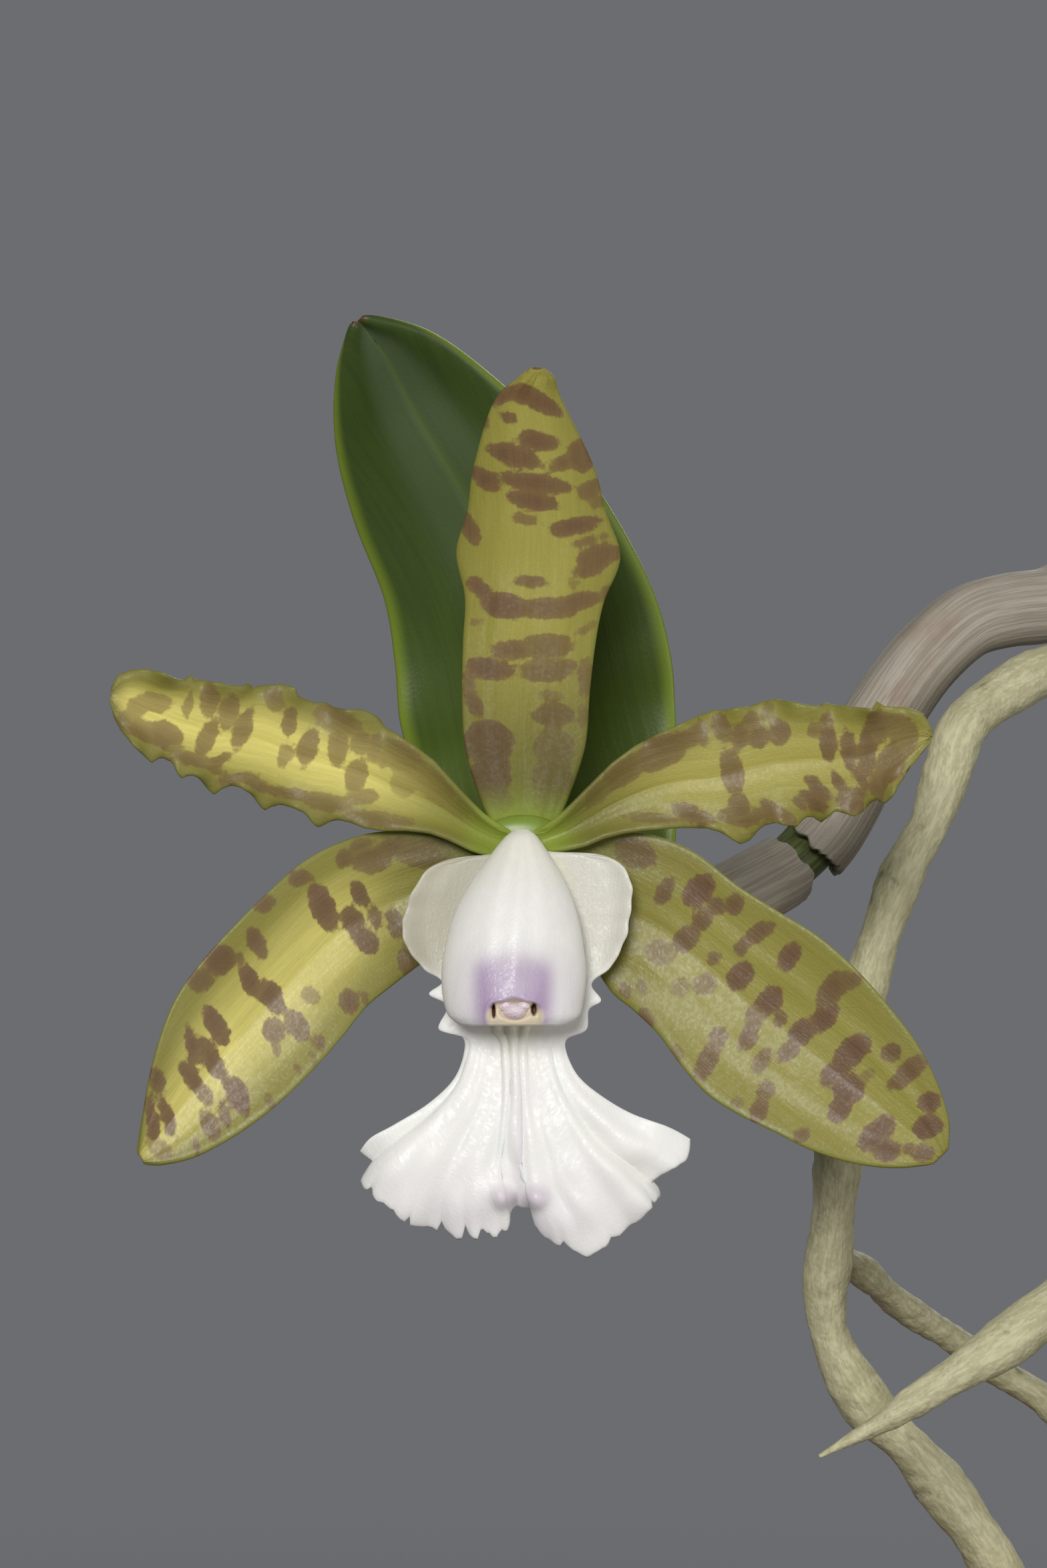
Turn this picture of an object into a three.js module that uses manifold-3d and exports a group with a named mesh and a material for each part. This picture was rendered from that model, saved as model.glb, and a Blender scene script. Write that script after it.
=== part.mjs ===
// A potted cattleya orchid: one open bloom and its leafy growths on a climbing rhizome, in a clay pot.
// Millimetres, +Z up. The origin is the centre of the pot's foot, on the surface that it stands on.
// The bloom faces -Y.

import * as THREE from "three";
import { mergeVertices } from "three/addons/utils/BufferGeometryUtils.js";
import Module from "manifold-3d";

const wasm = await Module();
wasm.setup();

// Driving dimensions

const GAP = 0.35; // between pieces that rest on or grow from each other
const POT_HEIGHT = 100;
const POT_RIM_RADIUS = 60;
const POT_RIM_BAND = 21;
const POT_BODY_RADIUS = 55.5; // just under the rim band
const POT_FOOT_RADIUS = 41;
const POT_WALL = 6;
const POT_FLOOR = 8;
const POT_INNER_TOP = POT_RIM_RADIUS - POT_WALL;
const POT_INNER_FOOT = POT_FOOT_RADIUS - POT_WALL + 1;
const DRAIN_HOLES = 3;
const DRAIN_RADIUS = 5;
const DRAIN_RING = 22; // from the pot's axis to a drain hole's
const BARK_EDGE = 89; // height of the bark at the pot's wall
const BARK_CROWN = 93; // and at its middle
const CHIPS = 34;
const CHIP_SIZE = [24, 16, 7];
const CHIP_SPREAD = 48; // from the pot's axis to the outermost chip's middle
const CHIP_SEED = 7;

const BLOOM = new THREE.Vector3(-62, -38, 207); // where the tepals meet
const TEPAL = 0.9; // thickness
const LIP = 0.8;
const LEAF = 1.7;
const SHEATH = 0.7;

// Facets round each kind of piece

const ROUND = 36; // the pot and what fills it
const STEM_SIDES = 8;
const BULB_SIDES = 10;
const ROOT_SIDES = 7;

// Small helpers

const GOLDEN_ANGLE = Math.PI * (3 - Math.sqrt(5));
const vec = (p) => new THREE.Vector3(...p);
const bloom = (u, v, w) => new THREE.Vector3(BLOOM.x + u, BLOOM.y - w, BLOOM.z + v); // right, up, forward
const bump = (x, centre, width) => Math.exp(-(((x - centre) / width) ** 2));
const clamp = (x) => Math.min(Math.max(x, 0), 1);

function smooth(x) {
  return clamp(x) ** 2 * (3 - 2 * clamp(x));
}

function seeded(seed) {
  let state = seed;
  return () => {
    state = (state * 1664525 + 1013904223) % 4294967296;
    return state / 4294967296;
  };
}

// A smooth curve through values that are evenly spread from 0 to 1
function keys(...values) {
  const curve = new THREE.SplineCurve(values.map((value, i) => new THREE.Vector2(i, value)));
  return (t) => curve.getPoint(clamp(t)).y;
}

// Solids

// One closed body with its faces pointing out
function closed(geometry) {
  geometry.deleteAttribute("normal");
  geometry.deleteAttribute("uv");
  const merged = mergeVertices(geometry, 1e-4);
  const corners = Array.from(merged.getIndex().array);
  const at = (i) => new THREE.Vector3().fromBufferAttribute(merged.getAttribute("position"), i);
  const kept = [];
  let volume = 0;
  for (let i = 0; i < corners.length; i += 3) {
    const [a, b, c] = corners.slice(i, i + 3);
    if (a !== b && b !== c && c !== a) {
      kept.push([a, b, c]);
      volume += at(a).dot(at(b).cross(at(c)));
    }
  }
  merged.setIndex(kept.flatMap(([a, b, c]) => (volume < 0 ? [a, c, b] : [a, b, c])));
  return merged;
}

function solid(geometry) {
  const body = closed(geometry);
  const vertProperties = new Float32Array(body.getAttribute("position").array);
  const triVerts = new Uint32Array(body.getIndex().array);
  return new wasm.Manifold(new wasm.Mesh({ numProp: 3, vertProperties, triVerts }));
}

// Joined or cut pieces keep their main body, and a loose scrap is dropped
function mainBody(joined) {
  const bodies = joined.decompose();
  return bodies.reduce((best, next) => (next.numTri() > best.numTri() ? next : best));
}

function cut(body, ...tools) {
  return mainBody(tools.reduce((left, tool) => left.subtract(tool), body));
}

function join(first, ...others) {
  return others.reduce((whole, other) => whole.add(other), first);
}

const part = new THREE.Group();

function piece(name, body, colour, roughness) {
  const { vertProperties, triVerts } = body.getMesh();
  const geometry = new THREE.BufferGeometry();
  geometry.setAttribute("position", new THREE.BufferAttribute(vertProperties, 3));
  geometry.setIndex(new THREE.BufferAttribute(triVerts, 1));
  geometry.computeVertexNormals();
  const material = new THREE.MeshStandardMaterial({ color: colour, roughness, metalness: 0 });
  const mesh = new THREE.Mesh(geometry, material);
  mesh.name = name;
  part.add(mesh);
}

// Stems, roots and sheaths: an outline turned round a curved path

function path(points) {
  const curve = new THREE.CatmullRomCurve3(points.map(vec), false, "centripetal");
  const steps = 60;
  return { curve, steps, length: curve.getLength(), frames: curve.computeFrenetFrames(steps, false) };
}

function onPath({ curve, steps, length, frames }, t, x, z) {
  const place = clamp(t) * steps;
  const low = Math.min(Math.floor(place), steps - 1);
  const blend = (list) => list[low].clone().lerp(list[low + 1], place - low).normalize();
  const past = (t - clamp(t)) * length;
  return curve
    .getPointAt(clamp(t))
    .addScaledVector(blend(frames.tangents), past)
    .addScaledVector(blend(frames.normals), x)
    .addScaledVector(blend(frames.binormals), z);
}

// outline: [radius, fraction of the path] pairs. lean slides the far end along the path, round the stem.
function turned(route, outline, sides, lean = 0) {
  const lathe = new THREE.LatheGeometry(outline.map((p) => new THREE.Vector2(...p)), sides);
  const position = lathe.getAttribute("position");
  for (let i = 0; i < position.count; i++) {
    const [x, t, z] = [position.getX(i), position.getY(i), position.getZ(i)];
    const slide = lean * (x / Math.max(Math.hypot(x, z), 1e-6)) * smooth(t);
    position.setXYZ(i, ...onPath(route, t + slide, x, z).toArray());
  }
  return solid(lathe);
}

function stem(route, radius, steps, sides, grow = 0) {
  const reach = grow / route.length;
  const outline = [[0, -reach]];
  for (let i = 0; i <= steps; i++) {
    const end = i === 0 ? -reach : i === steps ? reach : 0;
    outline.push([radius(i / steps) + grow, i / steps + end]);
  }
  outline.push([0, 1 + reach]);
  return turned(route, outline, sides);
}

// A dry sheath: a thin shell round a stem, from one of the stem's rings to another
function sheath(route, radius, steps, { from, to, lean }) {
  const inner = [];
  const outer = [];
  for (let ring = from; ring <= to; ring++) {
    const t = ring / steps;
    const flare = GAP + 0.25 + 0.35 * smooth((ring - from) / (to - from));
    inner.push([radius(t) + flare, t]);
    outer.unshift([radius(t) + flare + SHEATH, t]);
  }
  return turned(route, [...inner, ...outer, inner[0]], BULB_SIDES, lean);
}

// Leaves, sepals, petals and the lip: a front and a back face, split into triangles alike

function sheet(front, back, along, across) {
  const positions = [];
  for (const face of [front, back]) {
    for (let i = 0; i <= along; i++) {
      for (let j = 0; j <= across; j++) {
        positions.push(...face(i / along, (2 * j) / across - 1).toArray());
      }
    }
  }
  const row = across + 1;
  const layer = row * (along + 1);
  const index = [];
  for (let i = 0; i < along; i++) {
    for (let j = 0; j < across; j++) {
      const [a, b, c, d] = [i * row + j, i * row + j + 1, (i + 1) * row + j + 1, (i + 1) * row + j];
      index.push(a, b, c, a, c, d);
      index.push(layer + a, layer + c, layer + b, layer + a, layer + d, layer + c);
    }
  }
  const rim = [];
  for (let j = 0; j < across; j++) rim.push(j);
  for (let i = 0; i < along; i++) rim.push(i * row + across);
  for (let j = across; j > 0; j--) rim.push(along * row + j);
  for (let i = along; i > 0; i--) rim.push(i * row);
  rim.forEach((a, k) => {
    const b = rim[(k + 1) % rim.length];
    index.push(b, a, layer + a, b, layer + a, layer + b);
  });
  const geometry = new THREE.BufferGeometry();
  geometry.setAttribute("position", new THREE.Float32BufferAttribute(positions, 3));
  geometry.setIndex(index);
  return solid(geometry);
}

// ribs: [left u, left v, right u, right v] across the blade, from its base to its tip
function edges(ribs) {
  const left = new THREE.SplineCurve(ribs.map(([u, v]) => new THREE.Vector2(u, v)));
  const right = new THREE.SplineCurve(ribs.map(([, , u, v]) => new THREE.Vector2(u, v)));
  return { left: (t) => left.getPoint(t), right: (t) => right.getPoint(t) };
}

// A blade seen face on in the bloom: its outline from the ribs, its depth from a function
function blade({ ribs, depth, scallop = () => 0, thickness, along, across }) {
  const { left, right } = edges(ribs);
  const face = (offset) => (t, s) => {
    const middle = left(t).lerp(right(t), 0.5);
    const edge = s < 0 ? left(t) : right(t);
    const p = middle.lerp(edge, Math.abs(s) * (1 + scallop(t, s) * s * s));
    return bloom(p.x, p.y, depth(t, s) + offset);
  };
  return sheet(face(thickness / 2), face(-thickness / 2), along, across);
}

// A leaf on a curved spine: side is the direction of its right edge, fold its depth for each unit of width
const leafWidth = keys(0.17, 0.3, 0.62, 0.88, 1, 1, 0.93, 0.76, 0.48, 0.08);

function leaf({ spine, side, halfWidth, fold }, grow = 0) {
  const route = path(spine);
  const thickness = LEAF + 2 * grow;
  const face = (offset) => (t, s) => {
    const ahead = route.curve.getTangentAt(t);
    const right = vec(side).addScaledVector(ahead, -vec(side).dot(ahead)).normalize();
    const up = right.clone().cross(ahead);
    const width = halfWidth * leafWidth(t) + grow;
    const rise = fold * width * Math.abs(s) ** 1.3 * (1.3 - 0.6 * t);
    return route.curve
      .getPointAt(t)
      .addScaledVector(right, width * s)
      .addScaledVector(up, rise + offset * (1 - 0.3 * s * s));
  };
  return sheet(face(thickness / 2), face(-thickness / 2), 11, 4);
}

// The pot

function pot() {
  const under = POT_HEIGHT - POT_RIM_BAND;
  const outline = [
    [0, 0],
    [POT_FOOT_RADIUS - 1.5, 0],
    [POT_FOOT_RADIUS, 1.5],
    [POT_BODY_RADIUS, under - 1],
    [POT_RIM_RADIUS - 1.6, under],
    [POT_RIM_RADIUS - 0.8, under + 1],
    [POT_RIM_RADIUS, POT_HEIGHT - 2],
    [POT_RIM_RADIUS - 1.6, POT_HEIGHT],
    [POT_INNER_TOP + 1, POT_HEIGHT],
    [POT_INNER_TOP, POT_HEIGHT - 1.5],
    [POT_INNER_FOOT, POT_FLOOR],
    [0, POT_FLOOR],
  ];
  const wall = turned(path([[0, 0, 0], [0, 0, 1]]), outline, ROUND);
  const holes = Array.from({ length: DRAIN_HOLES }, (_, i) => {
    const angle = (2 * Math.PI * (i + 0.5)) / DRAIN_HOLES;
    const hole = new THREE.CylinderGeometry(DRAIN_RADIUS, DRAIN_RADIUS, 3 * POT_FLOOR, 14);
    hole.rotateX(Math.PI / 2);
    hole.translate(DRAIN_RING * Math.cos(angle), DRAIN_RING * Math.sin(angle), 0);
    return solid(hole);
  });
  return cut(wall, ...holes);
}

// The inside of the pot's wall at a height
function innerRadius(z) {
  const slope = (POT_INNER_TOP - POT_INNER_FOOT) / (POT_HEIGHT - 1.5 - POT_FLOOR);
  return POT_INNER_FOOT + slope * (z - POT_FLOOR);
}

// Potting bark: a bed that fills the pot, with coarse chips sunk in its top

function potFilling(top, crown) {
  const base = POT_FLOOR + GAP;
  const outline = [[0, base], [innerRadius(base) - GAP, base], [innerRadius(top) - GAP, top]];
  for (const share of [0.66, 0.33]) {
    outline.push([innerRadius(top) * share, top + (crown - top) * (1 - share * share)]);
  }
  outline.push([0, crown]);
  return turned(path([[0, 0, 0], [0, 0, 1]]), outline, ROUND);
}

function barkChips() {
  const random = seeded(CHIP_SEED);
  const chips = [];
  for (let k = 0; k < CHIPS; k++) {
    const out = CHIP_SPREAD * Math.sqrt((k + 0.5) / CHIPS);
    const angle = k * GOLDEN_ANGLE + 0.3 * random();
    const [length, width, height] = CHIP_SIZE.map((size) => size * (0.7 + 0.5 * random()));
    const chip = new THREE.BoxGeometry(length, width, height);
    const position = chip.getAttribute("position");
    const pinch = 0.55 + 0.4 * random();
    for (let i = 0; i < position.count; i++) {
      const narrow = position.getX(i) > 0 ? pinch : 1;
      const shrink = position.getZ(i) > 0 ? 0.82 : 1;
      position.setY(i, position.getY(i) * narrow * shrink);
      position.setX(i, position.getX(i) * shrink);
    }
    chip.rotateX(0.5 * (random() - 0.5));
    chip.rotateY(0.5 * (random() - 0.5));
    chip.rotateZ(2 * Math.PI * random());
    const mound = BARK_EDGE + (BARK_CROWN - BARK_EDGE) * (1 - (out / POT_INNER_TOP) ** 2);
    chip.translate(out * Math.cos(angle), out * Math.sin(angle), mound + 0.4 + 1.2 * random());
    chips.push(solid(chip));
  }
  return chips;
}

// The climbing rhizome and the growths on it. Each growth and root leaves it where its path starts.

const rhizome = path([
  [31, 14, 72], [30, 14, 90], [26, 12, 106], [21, 10, 124], [24, 13, 143], [20, 14, 163],
  [25, 13, 184], [21, 14, 205], [24, 17, 222], [22, 18, 233],
]);
const RHIZOME_STEPS = 27;
const rhizomeJoint = (t) => bump((t * 9) % 1, 0.5, 0.16);
const rhizomeRadius = (t) => 3.3 + 0.7 * rhizomeJoint(t) - 1.2 * smooth((t - 0.94) / 0.06);

const floweringBulb = path([
  [23, 18, 229], [19.5, 18.5, 236.5], [13, 18, 239], [3.8, 15, 235.2], [-1.2, 13.5, 234.5],
  [-6.4, 12, 233], [-11.6, 10, 228.7], [-15.4, 8.5, 224], [-19.3, 7, 217.8], [-22.6, 5, 211.2],
  [-26, 3, 205.8], [-29.6, 1, 202.4], [-34.7, -2, 199.5], [-39.7, -4, 197.1], [-44.6, -6, 194.5],
]);
const floweringRadius = keys(3, 3.4, 3.6, 3.5, 3.3, 3.3, 3.5, 3.6, 3.5, 3.3, 2.3);

const bulbPaths = {
  back: path([[24, 12, 117], [34, 18, 120], [45, 26, 132], [55, 33, 152], [61, 38, 178]]),
  front: path([[23, 12, 158], [33, 7, 160], [46, -2, 171], [56, -10, 191], [61, -14, 220]]),
  old: path([[22, 14, 139], [26, 24, 141], [31, 38, 150], [34, 50, 168]]),
};
const leafyRadius = keys(2.8, 4.2, 4.8, 5, 5, 4.8, 4.2, 2.6);
const oldRadius = keys(2.6, 3.6, 4.1, 3.9, 4, 3.4, 2.9, 1.4);

// from and to count the rings of the growth's own stem
const sheaths = {
  flowering: { from: 3, to: 16, lean: 0.02 },
  back: { from: 2, to: 8, lean: 0.04 },
  front: { from: 2, to: 8, lean: 0.04 },
  old: { from: 2, to: 8, lean: 0.04 },
};

// Leaves

const floweringLeafRibs = [
  [13.3, -14.3, 16.3, -12.3], [6, -12.5, 17.6, -8], [-2.6, -6.3, 18.3, -1], [-9.4, 0.5, 18.4, 6.6],
  [-13.5, 7.5, 18.3, 14.8], [-15.3, 13, 17.7, 21.4], [-15.9, 20, 15.6, 29], [-17.2, 28, 11.2, 37.6],
  [-20.8, 37.4, 5, 46.3], [-22.9, 46.5, -3.8, 54.5], [-22.3, 54.9, -11.7, 59.7],
  [-20.4, 59, -16.9, 60.5],
];
const floweringLeafDepth = keys(-31, -33, -34, -35, -35, -34, -33, -31, -28, -24, -19, -16);

function floweringLeaf(grow = 0) {
  const fold = (t, s) => (4.5 - 2.6 * t) * Math.abs(s) ** 1.4 - 1.5 * t * s ** 4;
  return blade({
    ribs: floweringLeafRibs,
    depth: (t, s) => floweringLeafDepth(t) + fold(t, s) * smooth(6 * t + 0.2),
    thickness: LEAF + 2 * grow,
    along: 14,
    across: 6,
  });
}

const leaves = {
  flowering_rear: {
    spine: [
      [-45.2, -4.8, 193.4], [-43, 8, 190], [-38, 22, 186.5], [-32, 37, 184.5], [-25, 52, 184.5],
      [-19, 63, 186],
    ],
    side: [0.76, 0, -0.65], halfWidth: 13, fold: 0.3,
  },
  back_right: {
    spine: [[61.3, 38, 177.2], [66, 39.6, 188], [78, 43, 201], [92, 46, 210], [107, 48, 214]],
    side: [0.25, -0.95, 0.1], halfWidth: 15, fold: 0.32,
  },
  back_left: {
    spine: [[60.6, 38.6, 177.2], [57, 45, 188], [52, 57, 201], [47, 72, 209], [43, 87, 211]],
    side: [-0.9, -0.35, 0.1], halfWidth: 14, fold: 0.32,
  },
  front_right: {
    spine: [[61.4, -14, 219], [66, -9.6, 230], [76, -1, 243], [88, 8, 252], [101, 17, 256]],
    side: [0.6, -0.75, 0.1], halfWidth: 14.5, fold: 0.32,
  },
  front_left: {
    spine: [[61, -14.4, 219], [61, -22, 230], [60, -35, 241], [58, -50, 246], [56, -64, 245]],
    side: [-1, 0, 0.15], halfWidth: 14, fold: 0.32,
  },
};

// Roots

const roots = {
  root_hanging: {
    route: path([
      [22, 15, 220], [18.5, 13.5, 226], [14.6, 12, 228.3], [9.2, 9, 227.9], [2.9, 6, 226.5],
      [-2.2, 3, 224], [-6.2, 0, 221.4], [-8.7, -2, 218.7], [-10.2, -3, 214.5], [-12.5, -5, 208.3],
      [-15.8, -7, 201.8], [-18.9, -9, 194.2], [-21, -10, 186.9], [-22.8, -11, 178],
      [-24.2, -12, 166.8], [-24.9, -11, 157.8], [-25.6, -10, 150.4], [-24.4, -9, 143.9],
      [-20.1, -8, 136.7], [-15.7, -8, 132], [-12.5, -7, 128.1], [-9.2, -7, 123.9], [-6.2, -7, 119.7],
      [-3.9, -6, 114.2], [-3, -5, 107], [-3, -4, 86],
    ]),
    radius: keys(2.6, 3.1, 3.1, 3, 2.6, 2.8, 2.9, 2.9, 2.8, 3, 3, 3.1, 2.8, 1.8),
    steps: 32,
  },
  root_front: {
    route: path([
      [24, 14, 186], [20, 4, 176], [15, -11, 167], [10, -23, 160], [4.9, -30, 155.2],
      [-1.1, -34, 150.9], [-6.7, -37, 147.4], [-12, -38, 144.2], [-18.3, -38, 140],
      [-23.8, -38, 136.8], [-27.9, -38, 134.5],
    ]),
    radius: keys(2.6, 2.9, 3, 3.1, 3.2, 3.3, 3.2, 2.9, 2.4, 1.7, 0.35),
    steps: 24,
  },
  root_low_left: {
    route: path([[22, 11, 122], [15, 4, 118], [9, -6, 112], [5, -16, 103], [3, -21, 84]]),
    radius: keys(2.4, 2.8, 2.8, 2.7, 1.8),
    steps: 12,
  },
  root_low_right: {
    route: path([[27, 12, 108], [34, 4, 109], [41, -6, 105], [43, -14, 97], [43, -18, 82]]),
    radius: keys(2.4, 2.8, 2.9, 2.7, 1.8),
    steps: 12,
  },
  root_low_back: {
    route: path([[25, 14, 112], [24, 24, 112], [17, 34, 107], [12, 38, 98], [11, 39, 82]]),
    radius: keys(2.3, 2.6, 2.7, 2.6, 1.8),
    steps: 12,
  },
};

// A side branch of the hanging root, which dives to the bark behind it
const branchPath = path([
  [-25, -10.5, 155], [-24, -4, 154.6], [-21.7, 2, 153.1], [-14.8, 12, 147], [-8.3, 18, 142.3],
  [-2, 22, 137.9], [4.6, 23, 133.4], [9, 22.5, 126], [11, 21, 113], [11, 20, 100], [11, 19, 84],
]);
const branchRadius = keys(1.7, 1.9, 2, 2, 2, 2.1, 2.2, 2.2, 1.5);
const branch = (grow) => stem(branchPath, branchRadius, 15, ROOT_SIDES, grow);

// The flower's stalk, with the ovary at its far end

const stalk = path([
  [-47.6, -8.2, 196.6], [-50.5, -11, 199.4], [-54.5, -17, 203], [-59.6, -26, 206], [-61.8, -32, 207],
  [-62, -36.6, 207],
]);
const stalkRadius = keys(1.9, 1.7, 1.7, 1.9, 2.2, 2.3, 2.2, 2.7);

// The bloom

const dorsalSepal = {
  ribs: [
    [-3.3, -0.2, 2.9, -0.2], [-5, 3.1, 4.7, 3.1], [-7, 9.4, 6.9, 9.6], [-7.4, 16, 7.5, 16.2],
    [-7.3, 22, 8.2, 22], [-7.1, 27.3, 9.2, 26.8], [-8.1, 32.6, 11.1, 32], [-6.8, 37.3, 9.4, 37.3],
    [-6.1, 42.3, 7.9, 42.7], [-3.8, 49.7, 4.3, 50], [-0.9, 52.6, 3.3, 52.6], [0.8, 53.6, 1.9, 53.6],
  ],
  spine: keys(0, -0.2, -1.2, -2.6, -3.2, -3.4, -3.4, -3, -2.2, -0.8, 0.2, 0.6),
  cup: keys(0, 0.1, 0.7, 0.6, -0.6, -1.4, -1.9, -1.7, -1.2, -0.6, 0, 0),
};

const lateralSepals = {
  left: [
    [-1.9, -1.1, -1.6, -3.3], [-6.7, -0.8, -3.8, -7.3], [-12, -0.1, -7.5, -12],
    [-17.2, -0.1, -12.7, -15.8], [-21.5, -1.3, -15.6, -18], [-25.6, -3.5, -18.4, -20.3],
    [-29.6, -7, -20.9, -23.4], [-33.4, -10.8, -23.7, -26.6], [-37, -14.8, -26.6, -29.6],
    [-39.9, -18.9, -29.7, -32.3], [-41.7, -23.3, -33.4, -34.9], [-43, -28.2, -37.6, -37.1],
    [-43.8, -33.1, -41.3, -38], [-44.3, -36.7, -43.6, -37.9],
  ],
  right: [
    [1.5, -1.1, 1.2, -3.3], [5.3, -0.5, 3.9, -7.7], [9.9, -0.1, 6.6, -13.1], [14.5, -0.4, 9.7, -18.3],
    [19.5, -2.4, 12.6, -20.8], [24.4, -6.2, 15.4, -23.5], [29.1, -9.2, 17.8, -26.8],
    [33.6, -12, 20.8, -30.1], [37.8, -15.7, 24.4, -32.4], [41.6, -20, 28.4, -34.3],
    [44.6, -24, 32.7, -36.4], [46.8, -28.2, 37.6, -37.9], [48.3, -32.7, 42.5, -38.4],
    [48.3, -36.3, 46.7, -37.9],
  ],
  spine: keys(0, 0.3, 0.5, 0.8, 1.4, 2.2, 3.2, 4.2, 5.2, 6.2, 7.1, 7.9, 8.5, 8.8),
  cup: keys(0.1, 0.2, 0.4, 0.8, 1.3, 1.8, 2.2, 2.4, 2.4, 2.2, 1.8, 1.2, 0.6, 0.1),
};

const petals = {
  left: [
    [-2.7, 0.6, -3.2, -1.3], [-6.3, 3.6, -6.7, -1.3], [-9, 6.4, -10.2, -0.4], [-11.8, 9.1, -14, -0.1],
    [-15.6, 12, -18.1, 0], [-19, 14, -23.9, 1], [-22.9, 15.5, -27.5, 2], [-26.7, 16.5, -30.9, 3],
    [-31.6, 17, -36.1, 4.6], [-36.6, 17.5, -40.2, 7.9], [-40.2, 17.9, -43, 9.2],
    [-43.6, 18.6, -45.7, 10.8], [-46.5, 17.6, -47.1, 13.1], [-47.4, 16, -47.5, 15],
  ],
  right: [
    [2.4, 0.2, 3, -1.5], [4.9, 1.4, 6.3, -1.3], [7.9, 4.4, 9.9, -0.5], [11, 7.5, 13.6, 0.2],
    [14.5, 10.4, 17.2, 0.2], [17.9, 12.3, 21, 0], [21.4, 13.8, 24.8, -0.6], [24.8, 14.6, 28.3, 0],
    [28.9, 15, 31.7, 1], [34.2, 14.6, 35.3, 2.3], [38.5, 14.4, 39.3, 3.3], [41.9, 14.5, 41.9, 4.7],
    [44.8, 14, 44.4, 6.9], [46.3, 11.9, 46.3, 10.4],
  ],
  spine: keys(1.4, 1.5, 1.7, 2, 2.4, 2.8, 3.2, 3.7, 4.4, 5.2, 6, 6.8, 7.5, 8),
  cup: keys(0.3, 1.6, 1.8, 1.5, 1, 0.6, 0.3, 0, 0, 0.2, 0.8, 1.2, 1.2, 0.8),
  folds: 7, // along each margin
  fold: 0.9, // how far a fold stands out
};

function sepal({ ribs, spine, cup }) {
  const depth = (t, s) => spine(t) + cup(t) * s * s - 0.35 * bump(s, 0, 0.16) * smooth(5 * t);
  return blade({ ribs, depth, thickness: TEPAL, along: 18, across: 6 });
}

function petal(ribs, phase) {
  const { spine, cup, folds, fold } = petals;
  const crisp = (t) => smooth((t - 0.25) / 0.2);
  const wave = (t, s) => Math.sin(2 * Math.PI * folds * t + phase + (s < 0 ? 1.3 : 0));
  return blade({
    ribs,
    depth: (t, s) => spine(t) + cup(t) * s * s + fold * crisp(t) * wave(t, s) * s ** 4,
    scallop: (t, s) => 0.07 * crisp(t) * wave(t, s),
    thickness: TEPAL,
    along: 25,
    across: 6,
  });
}

// The lip: two ears that stand up beside the column, a narrow waist, and a fan with a notched, torn edge

const lipRibs = [
  [-2.3, -1.4, 1.5, -1.4], [-5.6, -2.4, 5, -2.2], [-10.5, -4, 10.1, -3.3], [-13, -7, 12.1, -5.9],
  [-14.1, -10.6, 12.1, -9.2], [-13.5, -13.4, 11.4, -12.5], [-11.6, -15.9, 9.8, -15.6],
  [-9.6, -17.3, 7.6, -17.5], [-11.1, -18.7, 8.7, -19.4], [-9, -20.1, 7.3, -20.5],
  [-10, -22.7, 7, -22.8], [-7.3, -23.6, 4.8, -23.8], [-7.1, -25.6, 4.7, -25.4], [-8.3, -28.5, 6, -28],
  [-11.2, -31.2, 8.6, -30.2], [-15, -33.5, 12, -32.2], [-17.7, -35, 16.2, -33.7],
  [-19, -36.6, 18.9, -35.1],
];
const lipFan = [
  [-19, -36.6], [-17.3, -38.5], [-18.6, -40.4], [-16.2, -42.8], [-14.2, -44.6], [-12, -45.5],
  [-9.3, -45.7], [-6.6, -46.5], [-4.8, -46.5], [-2.7, -45.8], [-1.6, -45.1], [-0.6, -43.2],
  [0.3, -44.4], [1.4, -46], [4, -47.4], [6.9, -48.4], [8.5, -47.9], [9.7, -47.1], [12, -45.4],
  [14.1, -43.7], [15.2, -41.9], [14.6, -39.9], [17, -38.5], [18.6, -37.2], [18.9, -35.1],
];
const lipDepth = keys(
  2.55, 2.7, 2.8, 2.9, 3.1, 3.4, 3.9, 4.4, 4.9, 5.3, 5.7, 6.2, 6.8, 7.6, 8.4, 9, 9.4, 9.2,
);
const lipEars = keys(
  0, 0, 0.9, 1.5, 1.6, 1.4, 0.9, 0.4, 0.3, 0, -0.3, -0.5, -0.7, -1, -1.2, -1.2, -1, -0.8,
);
// [place across the fan from -1 to 1, width, how far it stands forward]
const lipFolds = [
  [-0.86, 0.07, -1.6], [-0.62, 0.12, 0.8], [-0.06, 0.07, -1.2], [0.4, 0.16, 0.9], [0.72, 0.06, -1.7],
];
const LIP_WAIST = 0.6; // fraction of the lip's length at the waist

function lip() {
  const { left, right } = edges(lipRibs);
  const fan = new THREE.SplineCurve(lipFan.map((p) => new THREE.Vector2(...p)));
  const face = (offset) => (t, s) => {
    const across = (s + 1) / 2;
    const end = left(1).lerp(right(1), across);
    const spread = clamp((t - LIP_WAIST) / (1 - LIP_WAIST));
    const p = left(t).lerp(right(t), across).addScaledVector(fan.getPoint(across).sub(end), spread ** 1.5);
    const folds = lipFolds.reduce((sum, [place, width, height]) => sum + height * bump(s, place, width), 0);
    const keel = 0.35 * bump(s, -0.03, 0.1) * smooth((t - 0.5) / 0.1) * (1 - spread ** 3);
    const ruffle = folds * spread ** 1.6 - 1.6 * spread ** 4;
    const w = lipDepth(t) + lipEars(t) * Math.abs(s) ** 3 + ruffle + keel;
    return bloom(p.x, p.y, w + offset);
  };
  return sheet(face(LIP / 2), face(-LIP / 2), 25, 18);
}

// The column: broad, hooded and keeled, with the pocket that holds the anther cap and the tongue under it

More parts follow.
